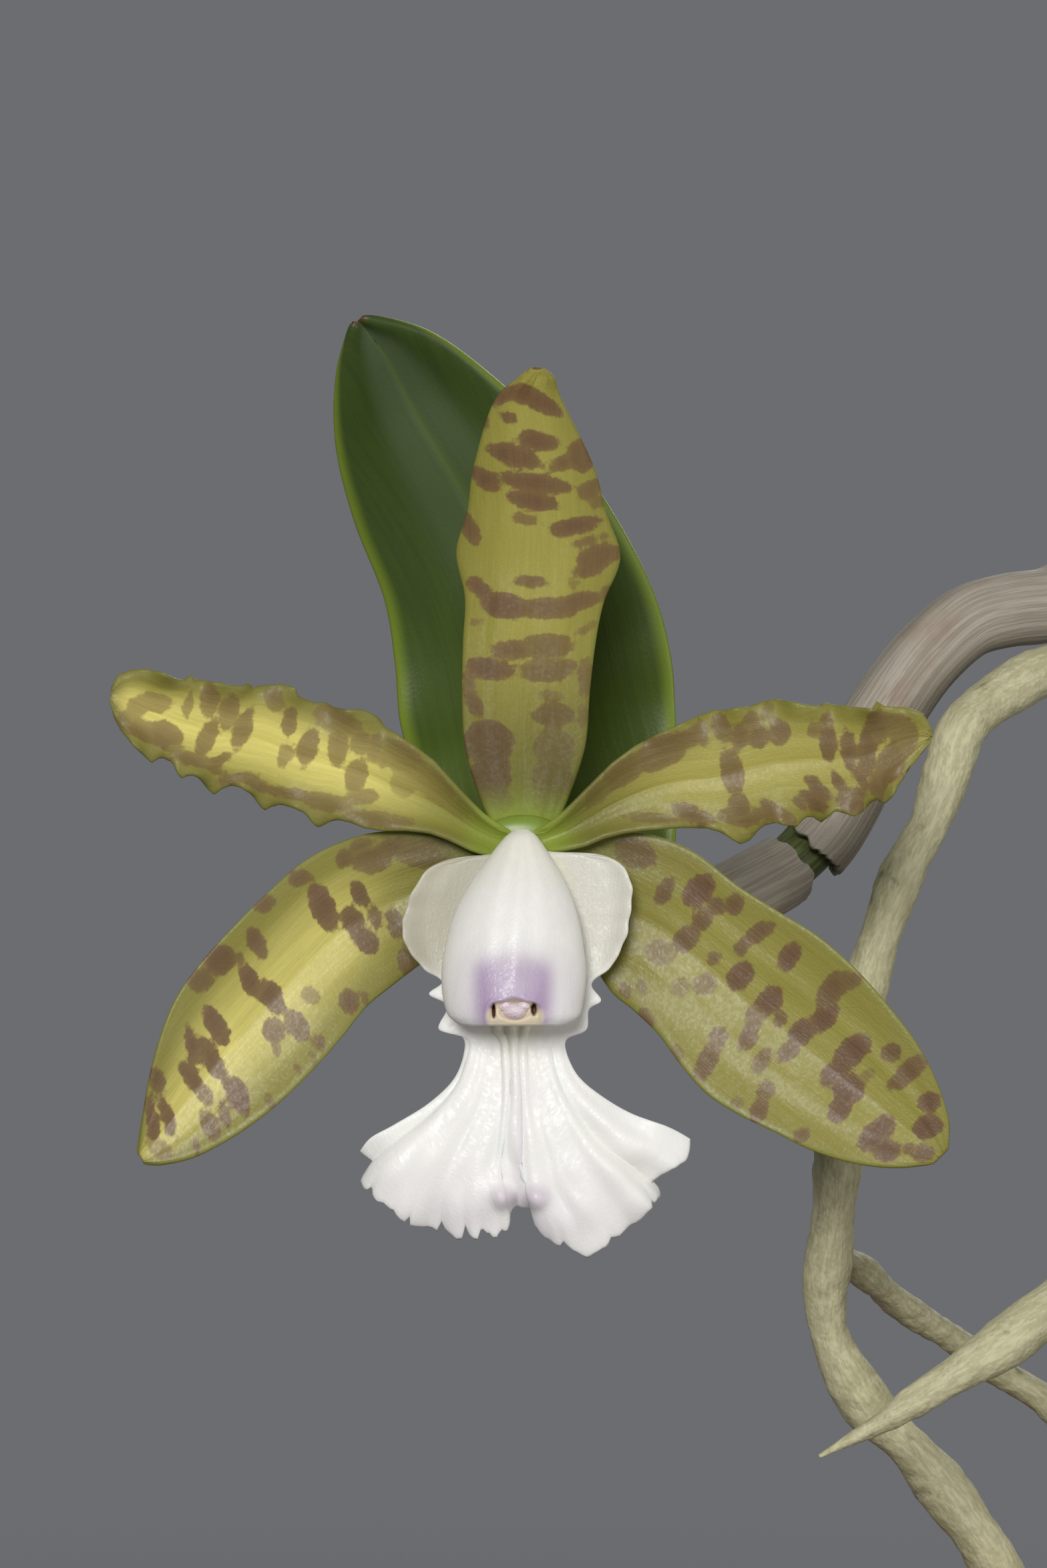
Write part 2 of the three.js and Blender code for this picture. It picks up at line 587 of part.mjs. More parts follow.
const columnRibs = [
  [-1.2, 0.2, 0.4, 0.2], [-2.5, -0.8, 1.6, -0.9], [-5.1, -4.1, 3.9, -4.5], [-6.9, -6.9, 5.3, -7.5],
  [-8.3, -9.8, 6.2, -10.5], [-9.2, -13.2, 6.7, -13.5], [-9.6, -16.2, 7, -16.6],
  [-9.4, -19, 6.7, -19.2], [-8.8, -20.9, 6.2, -21], [-7.5, -22, 4.9, -22],
];
const columnEdge = keys(3.95, 4.3, 5.2, 6.1, 6.9, 7.9, 8.9, 9.8, 10.4, 10.8);
const columnSwell = keys(0.5, 1.6, 3.2, 4.2, 4.8, 5, 5, 4.8, 4.3, 3.6);
const CAP_CENTRE = [-1.6, -19.9, 13.6];
const CAP_RADIUS = 1.75;

function ball(u, v, w, ru, rv, rw) {
  const geometry = new THREE.SphereGeometry(1, 11, 8);
  geometry.scale(ru, rw, rv);
  geometry.translate(...bloom(u, v, w).toArray());
  return solid(geometry);
}

function column() {
  const { left, right } = edges(columnRibs);
  const face = (depth) => (t, s) => {
    const p = left(t).lerp(right(t), (s + 1) / 2);
    return bloom(p.x, p.y, depth(t, s));
  };
  const keels = (t, s) => 0.25 * (bump(s, -0.38, 0.12) + bump(s, 0.38, 0.12)) * smooth(3 * t);
  const arch = (s) => (1 - s * s) ** 0.75;
  const front = (t, s) => columnEdge(t) + columnSwell(t) * arch(s) + keels(t, s);
  const back = (t, s) => columnEdge(t) - 0.8 + 1.4 * arch(s) * smooth(2 * t);
  const body = sheet(face(front), face(back), 12, 8);
  const [u, v, w] = CAP_CENTRE;
  const pocket = ball(u, v, w + 0.8, CAP_RADIUS + GAP, CAP_RADIUS + GAP, 3.6);
  const room = ball(u, v, w, CAP_RADIUS + GAP, CAP_RADIUS + GAP, CAP_RADIUS + GAP);
  const mouth = ball(u + 0.2, v - 2.4, w + 0.6, 2.9, 1.9, 3.4);
  const tongue = ball(u + 0.2, v - 2.2, w - 2.3, 2.7, 1.4, 2);
  return cut(join(cut(body, pocket, mouth), tongue), room);
}

// Assembly, from the pot up

const rhizomeCutter = stem(rhizome, rhizomeRadius, RHIZOME_STEPS, STEM_SIDES, GAP);
const stemCutters = [rhizomeCutter, branch(GAP)];
for (const { route, radius, steps } of Object.values(roots)) {
  stemCutters.push(stem(route, radius, steps, ROOT_SIDES, GAP));
}

const clay = "#a4603d";
const barkBrown = "#5b4030";
const dryGrey = "#8a7a63";
const stemGreen = "#5d6a36";
const leafGreen = "#31461c";
const velamen = "#a69f7a";
const tepalYellow = "#a29c45";
const white = "#f4f2ee";
const capPink = "#c8bab6";

piece("pot", pot(), clay, 0.85);

const bark = join(potFilling(BARK_EDGE, BARK_CROWN), ...barkChips());
const inPot = potFilling(POT_HEIGHT - 2, POT_HEIGHT + 6);
piece("bark_mix", cut(bark.intersect(inPot), ...stemCutters), barkBrown, 0.95);

piece("rhizome", stem(rhizome, rhizomeRadius, RHIZOME_STEPS, STEM_SIDES), dryGrey, 0.8);

const bulbs = {
  flowering: { route: floweringBulb, radius: floweringRadius, steps: 21 },
  back: { route: bulbPaths.back, radius: leafyRadius, steps: 12 },
  front: { route: bulbPaths.front, radius: leafyRadius, steps: 12 },
  old: { route: bulbPaths.old, radius: oldRadius, steps: 11 },
};
for (const [name, { route, radius, steps }] of Object.entries(bulbs)) {
  const bulb = stem(route, radius, steps, BULB_SIDES);
  piece(`pseudobulb_${name}`, cut(bulb, rhizomeCutter), stemGreen, 0.6);
  piece(`sheath_${name}`, sheath(route, radius, steps, sheaths[name]), dryGrey, 0.8);
}

const { route: bent, radius: bentRadius, steps: bentSteps } = bulbs.flowering;
const upperSheath = sheath(bent, bentRadius, bentSteps, { from: 17, to: 20, lean: -0.015 });
piece("sheath_flowering_upper", upperSheath, dryGrey, 0.8);

for (const [name, { route, radius, steps }] of Object.entries(roots)) {
  const main = stem(route, radius, steps, ROOT_SIDES);
  const whole = name === "root_hanging" ? join(main, branch(0)) : main;
  piece(name, cut(whole, rhizomeCutter), velamen, 0.8);
}

const bulbCutter = ({ route, radius, steps }) => stem(route, radius, steps, BULB_SIDES, GAP);
const flowerStalk = (grow) => stem(stalk, stalkRadius, 16, STEM_SIDES, grow);
// The second leaf of a pair clasps the first
const growths = {
  flowering: { first: floweringLeaf, second: leaves.flowering_rear },
  back: { first: (grow) => leaf(leaves.back_right, grow), second: leaves.back_left },
  front: { first: (grow) => leaf(leaves.front_right, grow), second: leaves.front_left },
};
for (const [name, { first, second }] of Object.entries(growths)) {
  const clear = [bulbCutter(bulbs[name]), flowerStalk(GAP)];
  piece(`leaf_${name}_first`, cut(first(0), ...clear), leafGreen, 0.4);
  piece(`leaf_${name}_second`, cut(leaf(second), ...clear, first(GAP)), leafGreen, 0.4);
}

piece("flower_stalk", cut(flowerStalk(0), bulbCutter(bulbs.flowering)), stemGreen, 0.5);

piece("dorsal_sepal", sepal(dorsalSepal), tepalYellow, 0.4);
piece("lateral_sepal_left", sepal({ ...lateralSepals, ribs: lateralSepals.left }), tepalYellow, 0.4);
piece("lateral_sepal_right", sepal({ ...lateralSepals, ribs: lateralSepals.right }), tepalYellow, 0.4);
piece("petal_left", petal(petals.left, 0.4), tepalYellow, 0.4);
piece("petal_right", petal(petals.right, 2.1), tepalYellow, 0.4);
piece("lip", lip(), white, 0.5);
piece("column", column(), white, 0.45);
piece("anther_cap", ball(...CAP_CENTRE, CAP_RADIUS, CAP_RADIUS, CAP_RADIUS), capPink, 0.5);

export default part;
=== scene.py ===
import json
import math
from functools import partial

import bmesh
import bpy
import numpy as np
from bpy.props import FloatProperty, FloatVectorProperty, IntProperty, PointerProperty
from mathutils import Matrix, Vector


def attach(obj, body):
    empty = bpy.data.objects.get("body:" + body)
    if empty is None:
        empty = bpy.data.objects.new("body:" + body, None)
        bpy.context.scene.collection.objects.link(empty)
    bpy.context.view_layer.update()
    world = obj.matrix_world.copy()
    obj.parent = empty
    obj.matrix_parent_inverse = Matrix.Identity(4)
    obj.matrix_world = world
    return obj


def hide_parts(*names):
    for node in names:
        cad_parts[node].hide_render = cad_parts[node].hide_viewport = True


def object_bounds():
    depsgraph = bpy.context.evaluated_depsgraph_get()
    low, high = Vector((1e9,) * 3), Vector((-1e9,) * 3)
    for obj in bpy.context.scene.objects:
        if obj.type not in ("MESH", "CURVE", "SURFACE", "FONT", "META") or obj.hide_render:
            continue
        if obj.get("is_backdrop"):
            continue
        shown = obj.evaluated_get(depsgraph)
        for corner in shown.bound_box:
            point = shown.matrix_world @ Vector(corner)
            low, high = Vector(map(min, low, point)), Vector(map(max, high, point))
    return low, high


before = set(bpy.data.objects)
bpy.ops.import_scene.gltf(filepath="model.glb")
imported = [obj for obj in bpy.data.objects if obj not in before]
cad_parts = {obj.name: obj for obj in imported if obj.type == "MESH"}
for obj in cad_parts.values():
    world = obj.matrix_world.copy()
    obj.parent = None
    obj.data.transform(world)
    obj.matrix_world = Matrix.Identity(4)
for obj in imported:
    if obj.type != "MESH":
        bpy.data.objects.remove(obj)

bl_info = {
    "name": "Potted cattleya orchid",
    "version": (1, 0, 0),
    "blender": (4, 5, 0),
    "location": "View3D > Sidebar > Orchid",
    "description": "A potted cattleya orchid: bloom, leaves, stems, aerial roots, bark and clay pot",
    "category": "Object",
}

# Shapes are worked out in millimetres, and Blender gets metres
MM = 0.001
WELD = 2e-6  # metres within which points become one
GRAIN_STEP = 17.0  # how far apart two pieces read the same pattern

CAMERA = (-62.23, -638.0, 212.46)
CAMERA_REACH = 600.0  # from the camera to the plane through the bloom's middle
HALF_PICTURE = 90.9  # half of the picture's height on that plane
SENSOR = 36.0

FRONT = (0.0, -1.0, 0.0)  # the way that the bloom faces
BLOOM = (-62.0, -38.0, 207.0)  # where the tepals meet
TEPAL = 0.9  # thickness
LIP = 0.8
LEAF = 1.7
SHEATH = 0.7
SHEATH_GAP = 0.6

POT_HEIGHT = 100.0
POT_RIM_RADIUS = 60.0
POT_BODY_RADIUS = 55.5
POT_FOOT_RADIUS = 41.0
POT_INNER_TOP = 54.0
POT_INNER_FOOT = 36.0
POT_FLOOR = 8.0
RIM_FOOT = 79.0
BARK_EDGE = 89.0
BARK_CROWN = 93.0
BARK_GAP = 0.4  # between the bark and the pot
RIM_CREST = 57.0  # radius of the rim's top
DRAIN_HOLES = 3
DRAIN_RING = 22.0  # radius of the circle of holes in the floor
DRAIN_RADIUS = 5.0
CROWN_CHIP = (24.0, 16.0, 7.0)
SMALL_CHIP = (11.0, 7.5, 4.2)
CROWN_CHIP_RING = 48.0  # how far from the middle the chips lie
SMALL_CHIP_RING = 50.5
GOLDEN_ANGLE = math.pi * (3.0 - math.sqrt(5.0))

# Rows and columns of the meshes
TEPAL_MESH = (170, 64)
LIP_MESH = (150, 190)
COLUMN_MESH = (140, 110)
FIRST_LEAF_MESH = (130, 60)
LEAF_MESH = (90, 44)
RHIZOME_MESH = (300, 40)
BULB_MESH = (170, 54)
SHEATH_MESH = (84, 56)
STALK_MESH = (90, 48)
CAP_MESH = (30, 44)
RIM_MESH = (30, 48)
CHIP_MESH = (12, 20)
POT_MESH = (320, 96)
BARK_MESH = (110, 90)

LIGHT_AIM = (-0.04, -0.02, 0.19)
# Place and size of each light, in metres
LIGHTS = {
    "key": ((-0.2, -0.95, 0.55), 0.45),
    "fill": ((0.75, -0.65, 0.16), 0.6),
    "back": ((0.3, 0.85, 0.7), 0.6),
}
FLOOR_RADIUS = 12000.0


# Curves

def smooth(x):
    x = np.clip(x, 0.0, 1.0)
    return x * x * (3.0 - 2.0 * x)


def bump(x, centre, width):
    return np.exp(-(((x - centre) / width) ** 2))


def hermite(here, ahead, out, into, x):
    """The curve from here to ahead at x, 0 to 1, that leaves with the slope out and arrives with into"""
    cubic = 2.0 * here - 2.0 * ahead + out + into
    square = -3.0 * here + 3.0 * ahead - 2.0 * out - into
    return ((cubic * x + square) * x + out) * x + here


def spline(points, t):
    """A smooth curve through evenly spread numbers or points, at t from 0 to 1"""
    points = np.asarray(points, float)
    last = len(points) - 1
    place = np.clip(np.asarray(t, float), 0.0, 1.0) * last
    low = np.minimum(place.astype(int), last)
    x = place - low
    if points.ndim > 1:
        x = x[..., None]
    before, here, ahead, after = (points[np.clip(low + k, 0, last)] for k in (-1, 0, 1, 2))
    return hermite(here, ahead, (ahead - before) / 2.0, (after - here) / 2.0, x)


def keys(*values):
    return lambda t: spline(values, t)


def evenly(points, count=400):
    """A polyline through points, spread evenly along its length, and that length"""
    points = np.asarray(points, float)
    steps = np.linalg.norm(np.diff(points, axis=0), axis=1)
    far = np.concatenate([[0.0], np.cumsum(steps)])
    wanted = np.linspace(0.0, far[-1], count)
    return np.stack([np.interp(wanted, far, column) for column in points.T], axis=1), far[-1]


def margin(points, t, detail):
    """A blade's edge at t, 0 to 1, from points that lie close together. detail 0 smooths its
    teeth away."""
    line, _ = evenly(points, 500)
    wide = np.vstack([np.repeat(line[:1], 30, axis=0), line, np.repeat(line[-1:], 30, axis=0)])
    soft = np.stack([np.convolve(column, np.ones(61) / 61.0, "valid") for column in wide.T], axis=1)
    soft[0], soft[-1] = line[0], line[-1]
    share = detail[..., None]
    return spline(soft, t) * (1.0 - share) + spline(line, t) * share


class Route:
    """A curved line in space, walked evenly from 0 to 1, with a frame that turns with it"""

    STEPS = 240

    def __init__(self, points):
        given = np.asarray(points, float)
        given = np.vstack([2.0 * given[0] - given[1], given, 2.0 * given[-1] - given[-2]])
        dense = []
        for a, b, c, d in zip(given, given[1:], given[2:], given[3:]):
            spans = [np.linalg.norm(q - p) ** 0.5 for p, q in ((a, b), (b, c), (c, d))]
            out = (b - a) / spans[0] - (c - a) / (spans[0] + spans[1]) + (c - b) / spans[1]
            into = (c - b) / spans[1] - (d - b) / (spans[1] + spans[2]) + (d - c) / spans[2]
            x = np.linspace(0.0, 1.0, 24, endpoint=False)[:, None]
            dense.append(hermite(b, c, out * spans[1], into * spans[1], x))
        dense.append(given[-2][None])
        self.line, self.length = evenly(np.vstack(dense), self.STEPS + 1)
        ahead = np.gradient(self.line, axis=0)
        self.ahead = ahead / np.linalg.norm(ahead, axis=1, keepdims=True)
        across = np.zeros(3)
        across[2 - np.argmin(np.abs(self.ahead[0])[::-1])] = 1.0
        binormal = np.cross(self.ahead[0], across)
        side = np.cross(self.ahead[0], binormal / np.linalg.norm(binormal))
        sides = []
        for tangent in self.ahead:
            side = side - tangent * (side @ tangent)
            side = side / np.linalg.norm(side)
            sides.append(side)
        self.side = np.array(sides)
        self.over = np.cross(self.ahead, self.side)

    def at(self, t):
        """Places, directions ahead, and two directions across, at t; past the ends it runs straight on"""
        t = np.asarray(t, float)
        inside = np.clip(t, 0.0, 1.0)
        place = inside * self.STEPS
        low = np.minimum(place.astype(int), self.STEPS - 1)
        x = (place - low)[..., None]
        found = []
        for values in (self.line, self.ahead, self.side, self.over):
            found.append(values[low] * (1.0 - x) + values[low + 1] * x)
        found[0] = found[0] + found[1] * ((t - inside) * self.length)[..., None]
        return found


def uneven(points, size, seed, waves=14):
    """A smooth random height from about -1 to 1 over points, with bumps about size across"""
    random = np.random.default_rng(seed)
    directions = random.normal(size=(waves, 3))
    directions /= np.linalg.norm(directions, axis=1, keepdims=True)
    pace = 2.0 * np.pi / size * random.uniform(0.6, 1.5, waves)
    start = random.uniform(0.0, 2.0 * np.pi, waves)
    heights = np.sin(np.asarray(points) @ (directions * pace[:, None]).T + start)
    return heights.sum(axis=-1) * 1.2 / math.sqrt(waves)


# Meshes

def close_to_ends(count, crowd=0.85):
    """Numbers from -1 to 1 that lie closer together at both ends"""
    even = np.linspace(-1.0, 1.0, count)
    return (1.0 - crowd) * even + crowd * np.sin(even * np.pi / 2.0)


def ring_faces(rows, columns, round_rows=False):
    """Quads of rows of points that each close on themselves"""
    last = rows if round_rows else rows - 1
    i, j = np.meshgrid(np.arange(last), np.arange(columns), indexing="ij")
    below, beside = (i + 1) % rows, (j + 1) % columns
    corners = [i * columns + j, i * columns + beside, below * columns + beside, below * columns + j]
    return np.stack(corners, axis=-1).reshape(-1, 4)


def closed(front, back):
    """Rows of points that go across a front and return across its back"""
    return np.concatenate([front, back[:, -2:0:-1]], axis=1)


class Shape:
    """Points in millimetres, faces, and what the material reads at each point"""

    def __init__(self, points, faces, **marks):
        self.points = np.asarray(points, float).reshape(-1, 3)
        self.faces = [list(map(int, face)) for face in faces]
        self.marks = marks

    def add(self, other):
        offset = len(self.points)
        self.points = np.vstack([self.points, other.points])
        self.faces += [[corner + offset for corner in face] for face in other.faces]
        for name, values in self.marks.items():
            self.marks[name] = np.concatenate([values, other.marks[name]])
        return self


def mesh_of(name, shape):
    """The mesh of a shape, in metres"""
    mesh = bpy.data.meshes.new(name)
    mesh.from_pydata((shape.points * MM).tolist(), [], shape.faces)
    return mesh


def weld(mesh):
    """Joins a mesh's double points and turns its faces outwards"""
    work = bmesh.new()
    work.from_mesh(mesh)
    bmesh.ops.remove_doubles(work, verts=work.verts, dist=WELD)
    bmesh.ops.recalc_face_normals(work, faces=work.faces)
    work.to_mesh(mesh)
    work.free()


def put(name, shape, material, replaces):
    """Makes the object of a shape and hands it to the frame"""
    mesh = mesh_of(name, shape)
    for mark, values in shape.marks.items():
        values = np.asarray(values, np.float32)
        if values.ndim == 1:
            mesh.attributes.new(mark, "FLOAT", "POINT").data.foreach_set("value", values)
        else:
            layer = mesh.attributes.new(mark, "FLOAT_VECTOR", "POINT")
            layer.data.foreach_set("vector", values.ravel())
    weld(mesh)
    mesh.shade_smooth()
    mesh.materials.append(material)
    piece = bpy.data.objects.new(name, mesh)
    bpy.context.scene.collection.objects.link(piece)
    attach(piece, "root")
    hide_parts(*replaces)
    return piece


def tube(route, rows, sides, radius, caps=0.35, seed=0):
    """A stem round a route. radius gives millimetres from t and the angle; caps is how far the
    ends bulge."""
    t = np.linspace(0.0, 1.0, rows)
    angle = np.linspace(0.0, 2.0 * np.pi, sides, endpoint=False)
    along, around = np.meshgrid(t, angle, indexing="ij")
    size = radius(along, around)
    dome = np.sin(np.linspace(0.0, np.pi / 2.0, 6))[:, None]
    flat = np.sqrt(1.0 - dome ** 2)
    first = np.maximum(flat[::-1] * size[:1], 1e-4)
    last = np.maximum(flat[1:] * size[-1:], 1e-4)
    reach = caps / route.length
    along = np.vstack([
        -dome[::-1] * size[:1].mean() * reach + 0.0 * first,
        along[1:],
        1.0 + dome[1:] * size[-1:].mean() * reach + 0.0 * last,
    ])
    size = np.vstack([first, size[1:], last])
    around = np.broadcast_to(angle, along.shape)
    place, _, side, over = route.at(along)
    across = np.sin(around)[..., None] * side + np.cos(around)[..., None] * over
    grain = np.stack([size * np.sin(around), size * np.cos(around), along * route.length], axis=-1)
    spot = np.stack([np.clip(along, 0.0, 1.0), around / (2.0 * np.pi), 0.0 * along], axis=-1)
    return Shape(
        place + across * size[..., None],
        ring_faces(*along.shape),
        grain=(grain + seed * GRAIN_STEP).reshape(-1, 3),
        place=spot.reshape(-1, 3),
    )


def blade(surface, thickness, rows, columns, facing, edge=14, ends=24, seed=0, marks=None):
    """A thin blade with round edges. surface gives its middle from t, 0 to 1, and s, -1 to 1.
    facing points out of its front. marks gives more values from the middle's points."""
    t = (close_to_ends(rows, 0.5) + 1.0) / 2.0
    s = close_to_ends(columns)
    along, across = np.meshgrid(t, s, indexing="ij")
    middle = surface(along, across)
    normal = np.cross(np.gradient(middle, axis=1), np.gradient(middle, axis=0))
    normal /= np.maximum(np.linalg.norm(normal, axis=-1, keepdims=True), 1e-9)
    if (normal @ np.asarray(facing, float)).mean() < 0.0:
        normal = -normal
    half = thickness / 2.0 * np.sqrt(np.clip(1.0 - np.abs(across) ** edge, 0.0, 1.0))
    half = half * np.sqrt(np.clip(1.0 - np.abs(2.0 * along - 1.0) ** ends, 0.0, 1.0))

    points = closed(middle + normal * half[..., None], middle - normal * half[..., None])
    width = np.linalg.norm(middle[:, -1] - middle[:, 0], axis=-1)[:, None] / 2.0
    run = np.linalg.norm(np.diff(middle[:, columns // 2], axis=0), axis=-1)
    far = np.concatenate([[0.0], np.cumsum(run)])[:, None] + 0.0 * across
    front = np.stack([across * width, half, far], axis=-1)
    grain = closed(front, front * [1.0, -1.0, 1.0]) + seed * GRAIN_STEP
    where = np.stack([along, across, 0.0 * along], axis=-1)
    place = closed(where, where + [0.0, 0.0, 1.0])
    more = {}
    if marks:
        for name, values in marks(middle).items():
            more[name] = closed(values, values).ravel()
    return Shape(
        points,
        ring_faces(*points.shape[:2]),
        grain=grain.reshape(-1, 3),
        place=place.reshape(-1, 3),
        **more,
    )


def bloom(u, v, w):
    """A place in the bloom: right, up and forward of its middle"""
    return np.stack([BLOOM[0] + u, BLOOM[1] - w, BLOOM[2] + v], axis=-1)


def seen(u, v, w):
    """A place at depth w that the picture shows u right and v above its middle"""
    shrink = 1.0 - w / CAMERA_REACH
    return np.stack([CAMERA[0] + u * shrink, BLOOM[1] - w, CAMERA[2] + v * shrink], axis=-1)


def picture(points):
    """Where the picture shows points, right of and above its middle"""
    shrink = (points[..., 1] - CAMERA[1]) / CAMERA_REACH
    return (points[..., 0] - CAMERA[0]) / shrink, (points[..., 2] - CAMERA[2]) / shrink


def blotches(marks, middle):
    """How deep inside the marked blotches each point lies, and how strong the blotch is there"""
    right, up = picture(middle)
    deep = np.full(right.shape, -1.5)
    strong = np.full(right.shape, 0.8)
    for u, v, long, wide, turn, strength in marks:
        c, s = math.cos(math.radians(turn)), math.sin(math.radians(turn))
        x, y = right - u, up - v
        far = np.sqrt(((x * c + y * s) / long) ** 2 + ((y * c - x * s) / wide) ** 2)
        inside = (1.0 - far) * min(long, wide)
        strong = np.where(inside > deep, strength, strong)
        blend = np.exp(-np.abs(inside - deep) / 0.25) * 0.12
        deep = np.maximum(inside, deep) + blend
    return {"spots": deep, "tone": strong}


# The bloom

def ribbed(ribs, depth):
    """The middle of a blade between two edges. Each rib gives both edges' places: u, v, u, v."""
    ribs = np.asarray(ribs, float)

    def surface(t, s):
        left, right = spline(ribs[:, :2], t), spline(ribs[:, 2:], t)
        p = left + (right - left) * ((s + 1.0) / 2.0)[..., None]
        return bloom(p[..., 0], p[..., 1], depth(t, s))

    return surface


def between(left, right, depth):
    """The middle of a blade between two margins as the picture shows them"""
    def surface(t, s):
        teeth = s ** 6
        a, b = margin(left, t, teeth), margin(right, t, teeth)
        p = a + (b - a) * ((s + 1.0) / 2.0)[..., None]
        return seen(p[..., 0], p[..., 1], depth(t, s))

    return surface


DORSAL_RIBS = [
    (-3.3, -0.2, 2.9, -0.2), (-5, 3.1, 4.7, 3.1), (-7, 9.4, 6.9, 9.6), (-7.4, 16, 7.5, 16.2),
    (-7.3, 22, 8.2, 22), (-7.1, 27.3, 9.2, 26.8), (-8.1, 32.6, 11.1, 32), (-6.8, 37.3, 9.4, 37.3),
    (-6.1, 42.3, 7.9, 42.7), (-3.8, 49.7, 4.3, 50), (-0.9, 52.6, 3.3, 52.6), (0.8, 53.6, 1.9, 53.6),
]
DORSAL_SPINE = keys(0, -0.2, -1.2, -2.6, -3.2, -3.4, -3.4, -3, -2.2, -0.8, 0.2, 0.6)
DORSAL_CUP = keys(0, 0.1, 0.7, 0.6, -0.6, -1.4, -1.9, -1.7, -1.2, -0.6, 0, 0)
LATERAL_LEFT_RIBS = [
    (-1.9, -1.1, -1.6, -3.3), (-6.7, -0.8, -3.8, -7.3), (-12, -0.1, -7.5, -12),
    (-17.2, -0.1, -12.7, -15.8), (-21.5, -1.3, -15.6, -18), (-25.6, -3.5, -18.4, -20.3),
    (-29.6, -7, -20.9, -23.4), (-33.4, -10.8, -23.7, -26.6), (-37, -14.8, -26.6, -29.6),
    (-39.9, -18.9, -29.7, -32.3), (-41.7, -23.3, -33.4, -34.9), (-43, -28.2, -37.6, -37.1),
    (-43.8, -33.1, -41.3, -38), (-44.3, -36.7, -43.6, -37.9),
]
LATERAL_RIGHT_RIBS = [
    (1.5, -1.1, 1.2, -3.3), (5.3, -0.5, 3.9, -7.7), (9.9, -0.1, 6.6, -13.1), (14.5, -0.4, 9.7, -18.3),
    (19.5, -2.4, 12.6, -20.8), (24.4, -6.2, 15.4, -23.5), (29.1, -9.2, 17.8, -26.8),
    (33.6, -12, 20.8, -30.1), (37.8, -15.7, 24.4, -32.4), (41.6, -20, 28.4, -34.3),
    (44.6, -24, 32.7, -36.4), (46.8, -28.2, 37.6, -37.9), (48.3, -32.7, 42.5, -38.4),
    (48.3, -36.3, 46.7, -37.9),
]
LATERAL_SPINE = keys(0, 0.3, 0.5, 0.8, 1.4, 2.2, 3.2, 4.2, 5.2, 6.2, 7.1, 7.9, 8.5, 8.8)
LATERAL_CUP = keys(0.1, 0.2, 0.4, 0.8, 1.3, 1.8, 2.2, 2.4, 2.4, 2.2, 1.8, 1.2, 0.6, 0.1)
PETAL_SPINE = keys(1.4, 1.5, 1.7, 2, 2.4, 2.8, 3.2, 3.7, 4.4, 5.2, 6, 6.8, 7.5, 8)
PETAL_CUP = keys(0.3, 1.6, 1.8, 1.5, 1, 0.6, 0.3, 0, 0, 0.2, 0.8, 1.2, 1.2, 0.8)
PETAL_FOLDS = 7

# The petals' margins and the blotches of every tepal were read as pixels right of the left
# edge and below the top of the picture or of a zoom of it. A zoom is its left and top edge in the
# picture and how much larger it was. A blotch is its place, half length, half width, turn in degrees
# and, where it isn't 1, its strength.

PIXEL = 0.0774  # millimetres across, on the plane through the bloom's middle
PICTURE_MIDDLE = (784, 1174.5)
READING = 1  # decimals that a reading is good for, in millimetres
WHOLE = (0, 0, 1.0)

DORSAL_BLOTCHES = [
    ((650, 540, 3.0154), [
        (310, 160, 60, 30, 35), (400, 148, 70, 42, -5), (490, 190, 95, 40, -33),
        (335, 252, 35, 22, -15), (235, 282, 14, 22, 0, 0.8), (465, 360, 88, 42, -12),
        (365, 430, 125, 46, -17), (660, 430, 65, 74, 0, 0.9), (585, 465, 62, 33, 12, 0.9),
        (232, 535, 75, 40, -38), (450, 550, 155, 38, -8), (700, 580, 62, 40, 25, 0.75),
        (738, 640, 34, 26, 20, 0.7), (445, 632, 108, 42, -10), (408, 718, 60, 24, -10, 0.8),
        (630, 750, 105, 38, 12), (165, 755, 78, 38, -62, 0.9), (690, 815, 54, 20, 15, 0.8),
        (760, 795, 16, 13, 0, 0.7), (735, 890, 100, 55, 17, 0.9), (690, 950, 58, 28, 5, 0.9),
        (440, 1000, 72, 26, -6, 0.9), (625, 1010, 22, 14, 0, 0.5), (210, 1030, 72, 36, -36),
        (320, 1110, 102, 60, -10), (500, 1122, 130, 45, 0, 0.95), (645, 1092, 92, 44, 15, 0.9),
        (775, 1050, 34, 24, 45, 0.7), (195, 1185, 22, 15, 0, 0.6), (670, 1220, 26, 17, 15, 0.6),
        (710, 1190, 15, 11, 0, 0.5), (350, 1310, 78, 40, 0, 0.9), (500, 1295, 120, 54, 0, 0.85),
        (250, 1395, 102, 46, -8), (505, 1405, 120, 50, 0, 0.85), (600, 1385, 48, 28, 12, 0.8),
        (682, 1410, 56, 28, 80, 0.7), (157, 1450, 50, 26, 90, 0.8), (525, 1515, 48, 20, 0, 0.6),
    ]),
    ((560, 880, 3.733), [
        (560, 660, 80, 40, -62, 0.9), (1005, 720, 112, 66, 0, 0.8), (1170, 720, 60, 26, 85, 0.6),
        (1190, 520, 90, 32, 85, 0.7), (640, 870, 140, 120, 0, 1), (560, 900, 60, 110, -80, 0.9),
        (655, 1050, 112, 130, 0, 1), (665, 1210, 80, 110, -70, 1), (1010, 900, 110, 105, 0, 0.62),
        (1000, 1070, 112, 130, 0, 0.6), (990, 1220, 72, 90, 60, 0.55),
    ]),
]
